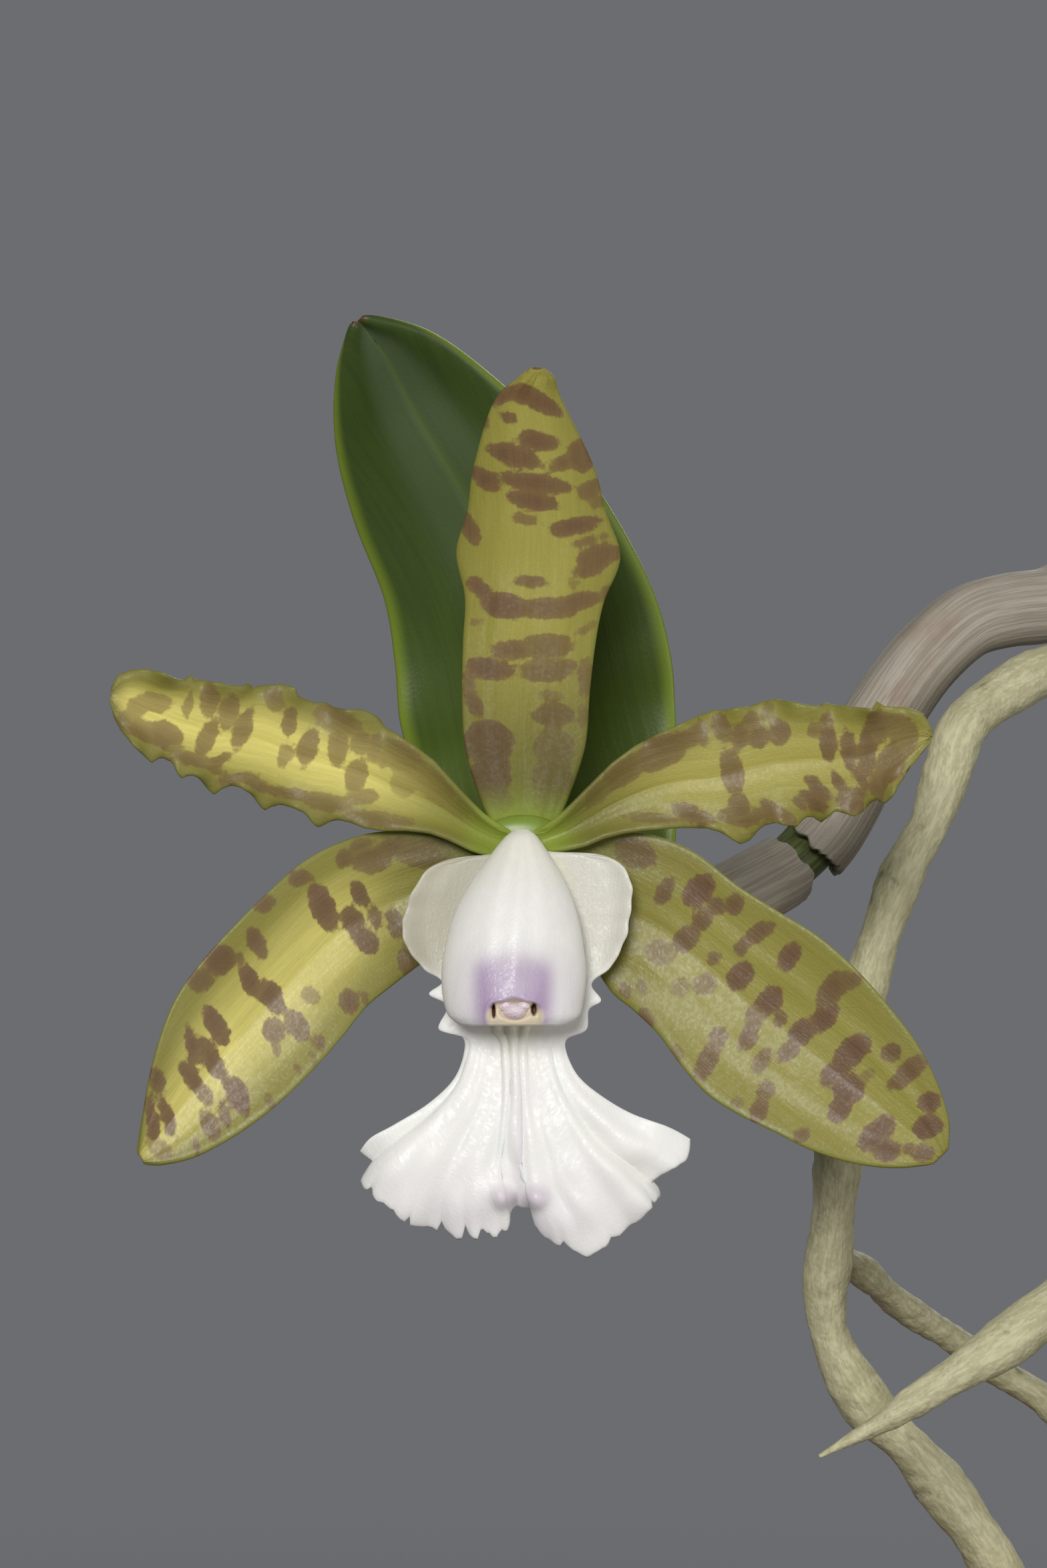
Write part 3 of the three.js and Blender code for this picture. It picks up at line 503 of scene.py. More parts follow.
PETAL_LEFT_BLOTCHES = [
    (WHOLE, [
        (205, 1060, 15, 16, 0, 0.8), (232, 1050, 24, 15, -10, 0.85), (246, 1101, 25, 19, -20, 1),
        (213, 1096, 24, 15, -30, 0.95), (190, 1080, 14, 10, -60, 0.8), (282, 1054, 16, 7, 78, 0.85),
        (313, 1049, 24, 13, 80, 0.9), (310, 1104, 29, 13, 66, 1), (342, 1066, 29, 13, 80, 0.95),
        (363, 1092, 31, 13, 70, 1), (412, 1048, 18, 14, 90, 0.7), (432, 1082, 21, 10, 84, 1),
        (426, 1130, 18, 10, 70, 0.8), (461, 1119, 30, 14, 74, 1), (506, 1080, 38, 20, -22, 0.7),
        (506, 1117, 30, 14, 86, 0.95), (538, 1113, 17, 13, 80, 0.85), (560, 1120, 18, 10, 80, 0.8),
        (576, 1133, 16, 10, 80, 0.7), (599, 1133, 36, 23, -30, 0.6), (646, 1171, 44, 20, -40, 0.5),
        (684, 1208, 30, 10, -42, 0.4), (533, 1162, 24, 17, 72, 0.95), (605, 1171, 25, 19, 70, 0.5),
        (543, 1194, 22, 11, 5, 0.85), (292, 1139, 32, 9, -15, 0.95), (327, 1138, 15, 8, 30, 1),
        (327, 1155, 9, 4, -20, 0.8), (353, 1165, 25, 7, 10, 0.9), (391, 1178, 22, 7, -15, 0.9),
        (439, 1190, 28, 8, -12, 0.9), (487, 1201, 36, 13, -8, 0.85), (567, 1229, 46, 12, -8, 0.7),
        (258, 1120, 12, 6, -10, 0.8),
    ]),
]
PETAL_RIGHT_BLOTCHES = [
    ((900, 1000, 2.904), [
        (265, 365, 125, 70, 28, 0.85), (100, 450, 112, 52, 35, 0.7), (-15, 540, 80, 36, 45, 0.5),
        (395, 300, 45, 36, 80, 0.85), (440, 290, 58, 28, -80, 0.85), (528, 262, 68, 42, -65, 0.85),
        (608, 300, 56, 36, 80, 0.95), (650, 240, 50, 36, 80, 0.7), (685, 302, 45, 48, 0, 0.9),
        (730, 195, 40, 28, 90, 0.5), (783, 280, 54, 44, 75, 0.95), (572, 455, 98, 50, -78, 0.95),
        (600, 600, 52, 44, -80, 0.9), (622, 660, 92, 30, 2, 0.85), (560, 645, 42, 36, 0, 0.75),
        (375, 630, 64, 36, -20, 0.9), (450, 662, 42, 26, -8, 0.85), (230, 662, 112, 24, -5, 0.6),
        (745, 610, 52, 28, -32, 0.95), (792, 652, 48, 26, -25, 0.8), (690, 632, 28, 22, -20, 0.85),
        (867, 588, 38, 17, -40, 0.95), (930, 582, 66, 28, -38, 1), (948, 525, 70, 30, -45, 1),
        (1035, 498, 50, 24, -58, 1), (1085, 585, 58, 48, -30, 0.95), (1142, 488, 46, 20, -62, 1),
        (1132, 542, 30, 20, -30, 0.9), (990, 325, 76, 32, -88, 1), (985, 235, 40, 28, 90, 0.75),
        (930, 270, 36, 28, 90, 0.7), (1080, 355, 82, 29, -86, 1), (1165, 350, 112, 36, 86, 1),
        (1205, 255, 70, 54, 90, 0.9), (1285, 250, 88, 52, -5, 0.85), (1268, 405, 92, 56, 72, 0.95),
        (1205, 520, 62, 24, -72, 0.95), (1330, 330, 70, 48, 60, 0.8), (1245, 480, 50, 30, 70, 0.9),
    ]),
]
LATERAL_LEFT_BLOTCHES = [
    ((200, 1230, 2.8), [
        (1000, 165, 82, 50, 10, 0.85), (1080, 108, 62, 38, 10, 0.8), (1200, 135, 120, 58, -8, 0.7),
        (1340, 115, 92, 48, -18, 0.5), (948, 102, 48, 28, 20, 0.7), (880, 155, 38, 33, 70, 0.85),
        (690, 237, 48, 33, 25, 0.75), (787, 360, 105, 50, -68, 1), (943, 305, 54, 33, -62, 1),
        (545, 347, 42, 32, 30, 0.75), (918, 425, 72, 44, -62, 1), (975, 512, 54, 42, -45, 1),
        (1010, 405, 50, 26, -75, 0.9), (1095, 430, 62, 34, -75, 0.95), (510, 508, 70, 35, -62, 0.95),
        (358, 580, 66, 60, 50, 0.9), (440, 575, 30, 16, -75, 0.85), (275, 665, 56, 46, 40, 0.85),
        (485, 672, 68, 36, -68, 1), (578, 738, 78, 44, -60, 1), (1140, 598, 58, 34, -75, 0.8),
        (742, 735, 44, 34, -40, 0.6), (905, 762, 50, 38, -70, 0.9), (970, 745, 30, 14, -70, 0.7),
        (588, 882, 56, 46, -60, 0.9), (600, 962, 24, 14, -80, 0.7), (686, 860, 68, 42, -60, 0.95),
        (785, 932, 33, 20, -70, 0.85), (345, 860, 86, 40, -60, 1), (242, 945, 76, 26, -75, 1),
        (325, 998, 98, 36, -60, 1), (240, 1080, 78, 34, -58, 1), (305, 1155, 44, 26, -60, 0.95),
        (437, 1155, 88, 42, -64, 1), (385, 1237, 50, 22, -72, 0.95), (322, 1280, 70, 32, -62, 0.9),
        (96, 1085, 50, 34, -70, 0.95), (76, 1265, 104, 26, -82, 1), (142, 1245, 88, 26, -70, 1),
        (265, 1368, 30, 15, -75, 0.8), (575, 1178, 32, 18, -75, 0.6), (690, 1045, 20, 12, -60, 0.7),
        (112, 1375, 64, 34, -40, 0.6), (755, 1000, 26, 12, -70, 0.5),
    ]),
]
LATERAL_RIGHT_BLOTCHES = [
    ((860, 1220, 2.703), [
        (250, 155, 88, 60, -20, 0.75), (368, 310, 58, 33, 60, 0.9), (508, 305, 76, 52, 48, 1),
        (655, 362, 46, 36, 72, 0.95), (455, 505, 64, 46, 52, 0.95), (522, 430, 50, 34, 52, 0.95),
        (582, 368, 40, 36, 50, 0.9), (345, 560, 60, 48, -20, 0.6), (680, 537, 36, 27, 60, 0.9),
        (752, 478, 66, 34, 35, 0.9), (570, 582, 30, 25, 30, 0.8), (530, 692, 48, 42, 40, 0.7),
        (675, 655, 64, 45, 52, 1), (795, 752, 68, 45, 56, 1), (875, 575, 62, 40, 58, 1),
        (735, 812, 48, 38, 50, 0.85), (705, 902, 62, 36, 64, 0.95), (840, 832, 32, 26, 58, 0.95),
        (585, 902, 42, 36, 55, 0.85), (540, 1005, 80, 40, 64, 0.9), (760, 1000, 54, 33, 60, 0.85),
        (922, 882, 62, 46, 50, 1), (868, 962, 56, 36, 42, 0.9), (1040, 715, 84, 44, 60, 0.95),
        (1018, 825, 70, 42, 46, 1), (1105, 672, 66, 40, 10, 0.75), (1130, 955, 88, 52, 42, 1),
        (1058, 1042, 80, 38, 40, 1), (1112, 1112, 66, 58, 20, 1), (1075, 1192, 60, 42, 60, 1),
        (1285, 962, 46, 34, 35, 0.9), (1352, 1042, 96, 40, 42, 0.95), (1438, 1162, 50, 38, 30, 1),
        (1432, 1262, 64, 44, 20, 1), (1222, 1290, 96, 44, 43, 1), (1266, 1366, 52, 46, 30, 1),
        (1350, 1355, 20, 16, 0, 0.9), (1412, 1372, 48, 34, 10, 0.9), (920, 1302, 36, 28, 30, 0.8),
        (748, 1205, 46, 34, 62, 0.9), (775, 1120, 42, 34, 60, 0.8), (290, 830, 44, 28, -58, 0.85),
        (415, 970, 34, 20, -58, 0.6), (210, 716, 30, 22, -60, 0.7), (278, 700, 32, 20, -60, 0.6),
        (432, 702, 42, 32, 30, 0.5), (662, 1172, 26, 22, 0, 0.45), (1180, 1060, 40, 20, 40, 0.5),
    ]),
]
# Where each petal's upper and lower margin begin, in millimetres right of and above the middle
PETAL_LEFT_BASE = [(-0.6, -5.8), (-1.1, -8.2)]
PETAL_RIGHT_BASE = [(0.2, -5.7), (0.8, -7.9)]
PETAL_LEFT_UPPER = [
    (752, 1240), (722, 1220), (689, 1183), (651, 1140), (620, 1117), (595, 1100), (578, 1090),
    (571, 1081), (568, 1075), (557, 1069), (541, 1062), (522, 1063), (500, 1060), (487, 1052),
    (471, 1053), (456, 1046), (446, 1041), (443, 1030), (432, 1027), (417, 1024), (400, 1026),
    (388, 1029), (378, 1030), (373, 1022), (367, 1028), (350, 1027), (330, 1023), (310, 1019),
    (292, 1018), (286, 1011), (279, 1020), (262, 1017), (243, 1008), (217, 1002), (193, 1004),
    (176, 1012), (167, 1028), (165, 1043),
]
PETAL_LEFT_LOWER = [
    (738, 1285), (705, 1274), (672, 1257), (643, 1247), (608, 1244), (575, 1246), (545, 1240),
    (525, 1232), (506, 1228), (490, 1233), (477, 1240), (467, 1233), (457, 1219), (440, 1209),
    (420, 1205), (406, 1208), (396, 1215), (387, 1206), (377, 1190), (362, 1179), (348, 1176),
    (332, 1182), (320, 1191), (309, 1180), (300, 1166), (291, 1160), (282, 1162), (273, 1167),
    (264, 1156), (257, 1140), (247, 1133), (238, 1136), (227, 1144), (213, 1129), (196, 1112),
    (180, 1095), (170, 1075), (166, 1055), (165, 1043),
]
PETAL_RIGHT_UPPER = [
    (815, 1243), (847, 1215), (881, 1180), (916, 1143), (952, 1117), (982, 1101), (1014, 1086),
    (1048, 1071), (1069, 1063), (1087, 1063), (1107, 1060), (1124, 1058), (1138, 1052), (1163, 1047),
    (1180, 1051), (1196, 1053), (1214, 1057), (1230, 1058), (1234, 1052), (1248, 1055), (1265, 1057),
    (1296, 1061), (1308, 1063), (1314, 1051), (1324, 1057), (1340, 1058), (1358, 1060), (1382, 1069),
    (1394, 1086), (1396, 1103),
]
PETAL_RIGHT_LOWER = [
    (828, 1276), (850, 1273), (877, 1267), (906, 1255), (935, 1248), (969, 1244), (1017, 1241),
    (1055, 1240), (1079, 1245), (1096, 1257), (1110, 1265), (1124, 1258), (1134, 1245), (1145, 1236),
    (1162, 1233), (1176, 1236), (1193, 1239), (1200, 1231), (1208, 1224), (1220, 1224), (1230, 1232),
    (1240, 1224), (1251, 1213), (1265, 1218), (1279, 1223), (1292, 1217), (1303, 1203), (1311, 1196),
    (1325, 1204), (1337, 1193), (1348, 1172), (1361, 1151), (1382, 1127), (1393, 1113), (1396, 1103),
]


def read_point(x, y, zoom=WHOLE):
    """Millimetres right of and above the picture's middle"""
    left, top, scale = zoom
    across, down = left + x / scale, top + y / scale
    return (
        round((across - PICTURE_MIDDLE[0]) * PIXEL, READING),
        round((PICTURE_MIDDLE[1] - down) * PIXEL, READING),
    )


def read_blotch(zoom, x, y, long, wide, turn, strength=1.0):
    sizes = (round(size / zoom[2] * PIXEL, READING) for size in (long, wide))
    return (*read_point(x, y, zoom), *sizes, turn, round(strength, 1))


def read_blotches(zooms):
    return [read_blotch(zoom, *row) for zoom, rows in zooms for row in rows]


def petal(base, upper, lower, depth):
    """The middle of a petal between the margins that were read"""
    margins = [
        [first, *(read_point(x, y) for x, y in line)] for first, line in zip(base, (upper, lower))
    ]
    return between(*margins, depth)


def sepal_depth(spine, cup, keels, seed):
    """keels: places across, widths and heights of the ridges that run along the blade"""
    def depth(t, s):
        groove = 0.2 * bump(s, 0.0, 0.11) * smooth(5.0 * t) * smooth(6.0 * (1.0 - t))
        w = spine(t) + cup(t) * s * s - groove
        for place, width, height in keels:
            w = w + height * bump(s, place, width) * smooth(4.0 * t) * smooth(6.0 * (1.0 - t))
        flat = np.stack([6.0 * s, 0.0 * s, 50.0 * t], axis=-1)
        w = w + 0.08 * uneven(flat, 9.0, seed) * smooth(6.0 * t)
        return w + 0.015 * uneven(flat * [3.0, 1.0, 0.3], 4.0, seed + 1)

    return depth


def petal_depth(phase, seed):
    def depth(t, s):
        crisp = smooth((t - 0.2) / 0.25)
        grown = smooth(3.0 * t)
        side = np.where(s < 0.0, 1.3, 0.0)
        wave = np.sin(2.0 * np.pi * PETAL_FOLDS * t + phase + side)
        small = np.sin(2.0 * np.pi * 17.0 * t + 2.0 * phase + 3.0 * side)
        tip = smooth(7.0 * (1.0 - t))
        across = PETAL_CUP(t) * s * s + crisp * (0.9 * wave * s ** 4 + 0.3 * small * np.abs(s) ** 7)
        w = PETAL_SPINE(t) + (across - 0.25 * bump(s, 0.0, 0.12) * grown) * tip
        flat = np.stack([8.0 * s, 0.0 * s, 48.0 * t], axis=-1)
        veins = 0.015 * uneven(flat * [3.0, 1.0, 0.4], 5.0, seed + 1)
        return w + (0.12 * uneven(flat, 13.0, seed) + veins) * grown

    return depth


# The lip: two ears that stand up beside the column, a narrow waist, and a fan with a notched, torn edge

LIP_RIBS = np.array([
    (-1.6, -2.5, 1, -2.5), (-4.6, -2.9, 4.2, -2.6), (-10.5, -3.9, 10.1, -3.2), (-13, -7, 12.1, -5.9),
    (-14.1, -10.6, 12.1, -9.2), (-13.5, -13.4, 11.4, -12.5), (-11.6, -15.9, 9.8, -15.6),
    (-9.6, -17.3, 7.6, -17.5), (-11.1, -18.7, 8.7, -19.4), (-9, -20.1, 7.3, -20.5),
    (-10, -22.7, 7, -22.8), (-7.3, -23.6, 4.8, -23.8), (-7.1, -25.6, 4.7, -25.4), (-8.3, -28.5, 6, -28),
    (-11.2, -31.2, 8.6, -30.2), (-15, -33.5, 12, -32.2), (-17.7, -35, 16.2, -33.7),
    (-19, -36.6, 18.9, -35.1),
])
LIP_FAN = np.array([
    (-19, -36.6), (-17.4, -38.3), (-17.9, -39.6), (-18.8, -40.4), (-17.9, -41.2), (-16.2, -42.8),
    (-14.2, -44.6), (-12, -45.5), (-9.3, -45.7), (-6.6, -46.5), (-4.8, -46.5), (-3.2, -46.3),
    (-2, -45.4), (-1.8, -43.6), (-0.6, -43), (1.4, -43.4), (1.35, -45.3), (2.8, -46.7),
    (4.6, -47.6), (6.9, -48.4), (8.5, -47.9), (9.7, -47.1), (12, -45.4), (14.1, -43.6),
    (14.9, -42.6), (15.4, -41.8), (14.7, -41.1), (14.8, -39.8), (17, -38.5), (18.6, -37.2),
    (18.9, -35.1),
])
LIP_DEPTH = keys(
    2.55, 2.7, 2.8, 2.9, 3.1, 3.4, 3.9, 4.4, 4.9, 5.3, 5.7, 6.2, 6.8, 7.6, 8.4, 9, 9.4, 9.2,
)
LIP_EARS = keys(
    0, 0, 0.9, 1.5, 1.6, 1.4, 0.9, 0.4, 0.3, 0, -0.3, -0.5, -0.7, -1, -1.2, -1.2, -1, -0.8,
)
# Place across the fan from -1 to 1, width, and how far the fold stands forward
LIP_FOLDS = [
    (-0.86, 0.07, -2.0), (-0.66, 0.09, 1.2), (-0.06, 0.05, -0.5), (0.36, 0.12, 0.9), (0.7, 0.06, -2.3),
    (0.54, 0.06, 1.3), (-0.36, 0.06, 0.4), (-0.5, 0.03, -0.5), (0.86, 0.05, 1.0), (0.2, 0.05, 0.4),
]
LIP_KEELS = [(-0.22, 0.04, 0.3), (-0.03, 0.04, 0.5), (0.16, 0.04, 0.3)]
LIP_WAIST = 0.6
# Tears in the fan's edge: place across it from 0 to 1, width, and depth as a share of the fan
LIP_TEARS = [
    (0.135, 0.005, 0.1), (0.182, 0.003, 0.06), (0.209, 0.004, 0.12), (0.246, 0.003, 0.1),
    (0.262, 0.005, 0.13), (0.297, 0.003, 0.12), (0.33, 0.005, 0.1), (0.352, 0.003, 0.05),
    (0.6, 0.005, 0.06), (0.705, 0.004, 0.05), (0.79, 0.007, 0.1), (0.93, 0.006, 0.06),
]
# Rounded knobs beside the notch: right of and above the bloom's middle, size, height
LIP_KNOBS = [(-2.4, -41.7, 1.1, 1.3), (1.1, -41.8, 1.1, 1.5)]
# Where lilac washes over the lip: place, half width, half height, strength
LIP_WASHES = [
    (-2.4, -41.6, 1.3, 0.9, 0.7), (1.0, -41.5, 1.4, 1.0, 0.7), (-0.7, -37.0, 0.6, 5.0, 0.4),
    (-0.7, -28.0, 2.2, 6.0, 0.15), (6.0, -43.0, 5.5, 4.5, 0.16), (-9.0, -42.0, 7.0, 4.0, 0.12),
    (-6.0, -44.5, 6.0, 1.6, 0.2), (2.5, -45.0, 1.8, 2.4, 0.35),
]


def lip_surface(t, s):
    across = (s + 1.0) / 2.0
    left, right = spline(LIP_RIBS[:, :2], t), spline(LIP_RIBS[:, 2:], t)
    end = LIP_RIBS[-1, :2] + (LIP_RIBS[-1, 2:] - LIP_RIBS[-1, :2]) * across[..., None]
    spread = np.clip((t - LIP_WAIST) / (1.0 - LIP_WAIST), 0.0, 1.0)
    fan = spline(LIP_FAN, across)
    tears = sum(deep * bump(across, place, width) for place, width, deep in LIP_TEARS)
    reach = spread ** 1.5 * (1.0 - tears * spread ** 6)
    p = left + (right - left) * across[..., None] + (fan - end) * reach[..., None]
    torn = uneven(np.stack([60.0 * across, 0.0 * s, 0.0 * s], axis=-1), 2.2, 41, 10)
    torn = torn * (0.16 + 0.16 * bump(across, 0.28, 0.2))
    p[..., 1] += torn * spread ** 10
    ear = np.clip(np.sin(np.pi * np.clip((t - 0.04) / 0.4, 0.0, 1.0)), 0.0, 1.0)
    crimp = uneven(np.stack([90.0 * t, 5.0 * np.sign(s), 0.0 * s], axis=-1), 3.2, 43, 10)
    p[..., 0] += 0.08 * crimp * ear * s ** 7
    folds = sum(height * bump(s, place, width) for place, width, height in LIP_FOLDS)
    keels = sum(height * bump(s, place, width) for place, width, height in LIP_KEELS)
    keels = keels * smooth((t - 0.42) / 0.12) * (1.0 - spread ** 2)
    w = LIP_DEPTH(t) + LIP_EARS(t) * np.abs(s) ** 3 + folds * spread ** 2.2 - 1.6 * spread ** 4 + keels
    rim = 0.3 * bump(np.abs(s), 1.0, 0.07) - 0.15 * bump(np.abs(s), 0.84, 0.1)
    w = w + (0.15 * crimp * s ** 8 + rim) * ear
    flat = np.stack([p[..., 0], 0.0 * s, p[..., 1]], axis=-1)
    fine = uneven(np.stack([40.0 * across, 0.0 * s, 8.0 * spread], axis=-1), 2.4, 45, 16)
    w = w + 0.2 * uneven(flat, 6.5, 44) * spread + 0.09 * fine * spread
    for u, v, size, height in LIP_KNOBS:
        far = np.sqrt((p[..., 0] - u) ** 2 + (p[..., 1] - v) ** 2)
        w = w + height * np.exp(-((far / size) ** 2)) * smooth(3.0 * spread)
    return bloom(p[..., 0], p[..., 1], w)


def lip_washes(middle):
    """How much lilac lies on each point of the lip"""
    u, v = middle[..., 0] - BLOOM[0], middle[..., 2] - BLOOM[2]
    lilac = 0.0 * u
    for at_u, at_v, wide, tall, strength in LIP_WASHES:
        lilac = lilac + strength * np.exp(-(((u - at_u) / wide) ** 2) - ((v - at_v) / tall) ** 2)
    return {"lilac": np.clip(lilac, 0.0, 1.0)}


# The column: broad, hooded and keeled, with the mouth that holds the anther cap and the tongue under it

COLUMN_RIBS = np.array([
    (-1.2, 0.2, 0.4, 0.2), (-2.5, -0.8, 1.6, -0.9), (-5.1, -4.1, 3.9, -4.5), (-6.9, -6.9, 5.3, -7.5),
    (-8.3, -9.8, 6.2, -10.5), (-9.2, -13.2, 6.7, -13.5), (-9.6, -16.2, 7, -16.6),
    (-9.4, -19, 6.7, -19.2), (-8.8, -20.9, 6.2, -21), (-7.5, -22, 4.9, -22),
])
COLUMN_EDGE = keys(3.95, 4.3, 5.2, 6.1, 6.9, 7.9, 8.9, 9.8, 10.4, 10.8)
COLUMN_SWELL = keys(0.5, 1.6, 3.2, 4.2, 4.8, 5, 5, 4.8, 4.3, 3.6)
CAP = (-1.25, -20.1, 13.2)
MOUTH = (-1.2, -20.95)  # the middle of the mouth, right of and above the bloom's middle
# A slit's place, half width and half height at each side of the mouth
SLITS = [(-3.6, -20.3, 0.24, 0.85), (0.95, -20.1, 0.34, 0.7)]
# The anther cap's three lobes: each one's place from the cap's middle and its half sizes
CAP_LOBES = [
    ((0.0, -0.2, 0.1), (1.35, 1.25, 0.95)), ((-1.05, 0.4, -0.1), (0.85, 1.0, 0.7)),
    ((1.05, 0.4, -0.1), (0.85, 1.0, 0.7)),
]


def column_place(t, s):
    left, right = spline(COLUMN_RIBS[:, :2], t), spline(COLUMN_RIBS[:, 2:], t)
    return left + (right - left) * ((s + 1.0) / 2.0)[..., None]


def column_front(t, s):
    p = column_place(t, s)
    arch = np.clip(1.0 - s * s, 0.0, 1.0) ** 0.6
    keels = 0.25 * bump(s, 0.02, 0.16) + 0.12 * (bump(s, -0.4, 0.15) + bump(s, 0.42, 0.15))
    w = COLUMN_EDGE(t) + COLUMN_SWELL(t) * arch + keels * smooth(3.0 * t) * smooth((0.78 - t) / 0.2)
    u, v = p[..., 0], p[..., 1]
    mouth = (np.abs((u - MOUTH[0]) / 2.85) ** 4 + np.abs((v - MOUTH[1]) / 1.75) ** 4) ** 0.25
    w = w - 0.45 * smooth((1.08 - mouth) / 0.16) + 0.1 * bump(mouth, 1.14, 0.09)
    niche = np.sqrt(((u - CAP[0]) / 1.9) ** 2 + ((v - CAP[1]) / 1.3) ** 2)
    w = w - 0.9 * smooth((1.1 - niche) / 0.4)
    for slit_u, slit_v, wide, tall in SLITS:
        slit = np.sqrt(((u - slit_u) / wide) ** 2 + ((v - slit_v) / tall) ** 2)
        w = w - 1.9 * smooth((1.2 - slit) / 0.5)
    flat = np.stack([u, 0.0 * u, v], axis=-1)
    return bloom(p[..., 0], p[..., 1], w + 0.025 * uneven(flat, 4.0, 51))


def column_back(t, s):
    p = column_place(t, s)
    arch = np.clip(1.0 - s * s, 0.0, 1.0) ** 0.75
    edge = 0.9 * np.clip(1.0 - s ** 12, 0.0, 1.0) * smooth(8.0 * t) * smooth(10.0 * (1.0 - t) + 0.1)
    return bloom(p[..., 0], p[..., 1], COLUMN_EDGE(t) - edge + 1.2 * arch * smooth(2.0 * t))


def column_shape():
    rows, columns = COLUMN_MESH
    t = (close_to_ends(rows, 0.7) + 1.0) / 2.0
    s = close_to_ends(columns)
    along, across = np.meshgrid(t, s, indexing="ij")
    front, back = column_front(along, across), column_back(along, across)
    # The far end closes over in a rounded lip
    close = smooth((along - 0.965) / 0.035)[..., None] * 0.5
    front, back = front * (1.0 - close) + back * close, back * (1.0 - close) + front * close
    points = closed(front, back)
    p = points - np.array(BLOOM)
    where = np.stack([along, across, 0.0 * along], axis=-1)
    return Shape(
        points,
        ring_faces(*points.shape[:2]),
        grain=p.reshape(-1, 3),
        place=closed(where, where + [0.0, 0.0, 1.0]).reshape(-1, 3),
    )


def lump(centre, sizes, rows, sides, shape=None, square=2.0, turn=None, seed=0):
    """A closed body round a centre. shape gives its size from the direction; square makes it boxy."""
    rise = np.linspace(-np.pi / 2.0 + 1e-3, np.pi / 2.0 - 1e-3, rows)
    angle = np.linspace(0.0, 2.0 * np.pi, sides, endpoint=False)
    tall, around = np.meshgrid(rise, angle, indexing="ij")
    way = np.stack([np.cos(tall) * np.cos(around), np.cos(tall) * np.sin(around), np.sin(tall)], axis=-1)
    size = (np.abs(way) ** square).sum(axis=-1) ** (-1.0 / square)
    points = way * size[..., None] * np.asarray(sizes, float)
    if shape:
        points = points * shape(way)[..., None]
    grain = points + seed * GRAIN_STEP
    if turn is not None:
        points = points @ np.asarray(turn).T
    faces = ring_faces(rows, sides)
    caps = [np.arange(sides), np.arange((rows - 1) * sides, rows * sides)]
    place = np.stack([tall / np.pi + 0.5, around / (2.0 * np.pi), 0.0 * tall + seed % 7 / 7.0], axis=-1)
    return Shape(
        points.reshape(-1, 3) + np.asarray(centre, float),
        list(faces) + caps,
        grain=grain.reshape(-1, 3),
        place=place.reshape(-1, 3),
    )


# The plant

RHIZOME = Route([
    (31, 14, 72), (30, 14, 90), (26, 12, 106), (21, 10, 124), (24, 13, 143), (20, 14, 163),
    (25, 13, 184), (21, 14, 205), (24, 17, 222), (22, 18, 233),
])
STALK = Route([
    (-47.6, -8.2, 196.6), (-50.5, -11, 199.4), (-54.5, -17, 203), (-59.6, -26, 206), (-61.8, -32, 207),
    (-62, -36.6, 207),
])
STALK_RADIUS = keys(1.9, 1.7, 1.7, 1.9, 2.2, 2.3, 2.2, 2.7)
BRANCH = Route([
    (-25, -10.5, 155), (-24, -4, 154.6), (-21.7, 2, 153.1), (-14.8, 12, 147), (-8.3, 18, 142.3),
    (-2, 22, 137.9), (4.6, 23, 133.4), (9, 22.5, 126), (11, 21, 113), (11, 20, 100), (11, 19, 84),
])
BRANCH_RADIUS = keys(1.7, 1.9, 2, 2, 2, 2.1, 2.2, 2.2, 1.5)

LEAFY_RADIUS = keys(2.8, 4.2, 4.8, 5, 5, 4.8, 4.2, 2.6)
# Route, radius, number of rings, and the rings that its sheath covers with the sheath's lean
BULBS = {
    "flowering": (
        Route([
            (23, 18, 229), (19.5, 18.5, 236.5), (13, 18, 239), (3.8, 15, 235.2), (-1.2, 13.5, 234.5),
            (-6.4, 12, 233), (-11.6, 10, 228.7), (-15.4, 8.5, 224), (-19.3, 7, 217.8),
            (-22.6, 5, 211.2), (-26, 3, 205.8), (-29.6, 1, 202.4), (-34.7, -2, 199.5),
            (-39.7, -4, 197.1), (-44.6, -6, 194.5),
        ]),
        keys(3, 3.4, 3.6, 3.5, 3.3, 3.3, 3.5, 3.6, 3.5, 3.3, 2.3), 21, (3, 16, 0.02),
    ),
    "back": (
        Route([(24, 12, 117), (34, 18, 120), (45, 26, 132), (55, 33, 152), (61, 38, 178)]),
        LEAFY_RADIUS, 12, (2, 8, 0.04),
    ),
    "front": (
        Route([(23, 12, 158), (33, 7, 160), (46, -2, 171), (56, -10, 191), (61, -14, 220)]),
        LEAFY_RADIUS, 12, (2, 8, 0.04),
    ),
    "old": (
        Route([(22, 14, 139), (26, 24, 141), (31, 38, 150), (34, 50, 168)]),
        keys(2.6, 3.6, 4.1, 3.9, 4, 3.4, 2.9, 1.4), 11, (2, 8, 0.04),
    ),
}

LEAF_RIBS = [
    (13.3, -14.3, 16.3, -12.3), (6, -12.5, 17.6, -8), (-2.6, -6.3, 18.3, -1), (-9.4, 0.5, 18.4, 6.6),
    (-13.5, 7.5, 18.3, 14.8), (-15.3, 13, 17.7, 21.4), (-15.9, 20, 15.6, 29), (-17.2, 28, 11.2, 37.6),
    (-20.8, 37.4, 5, 46.3), (-22.9, 46.5, -3.8, 54.5), (-22.6, 54.9, -11.7, 59.7),
    (-20.5, 60.3, -19.4, 61),
]
LEAF_DEPTH = keys(-31, -33, -34, -35, -35, -34, -33, -31, -28, -24, -19, -16)
LEAF_WIDTH = keys(0.17, 0.3, 0.62, 0.88, 1, 1, 0.93, 0.76, 0.48, 0.08)
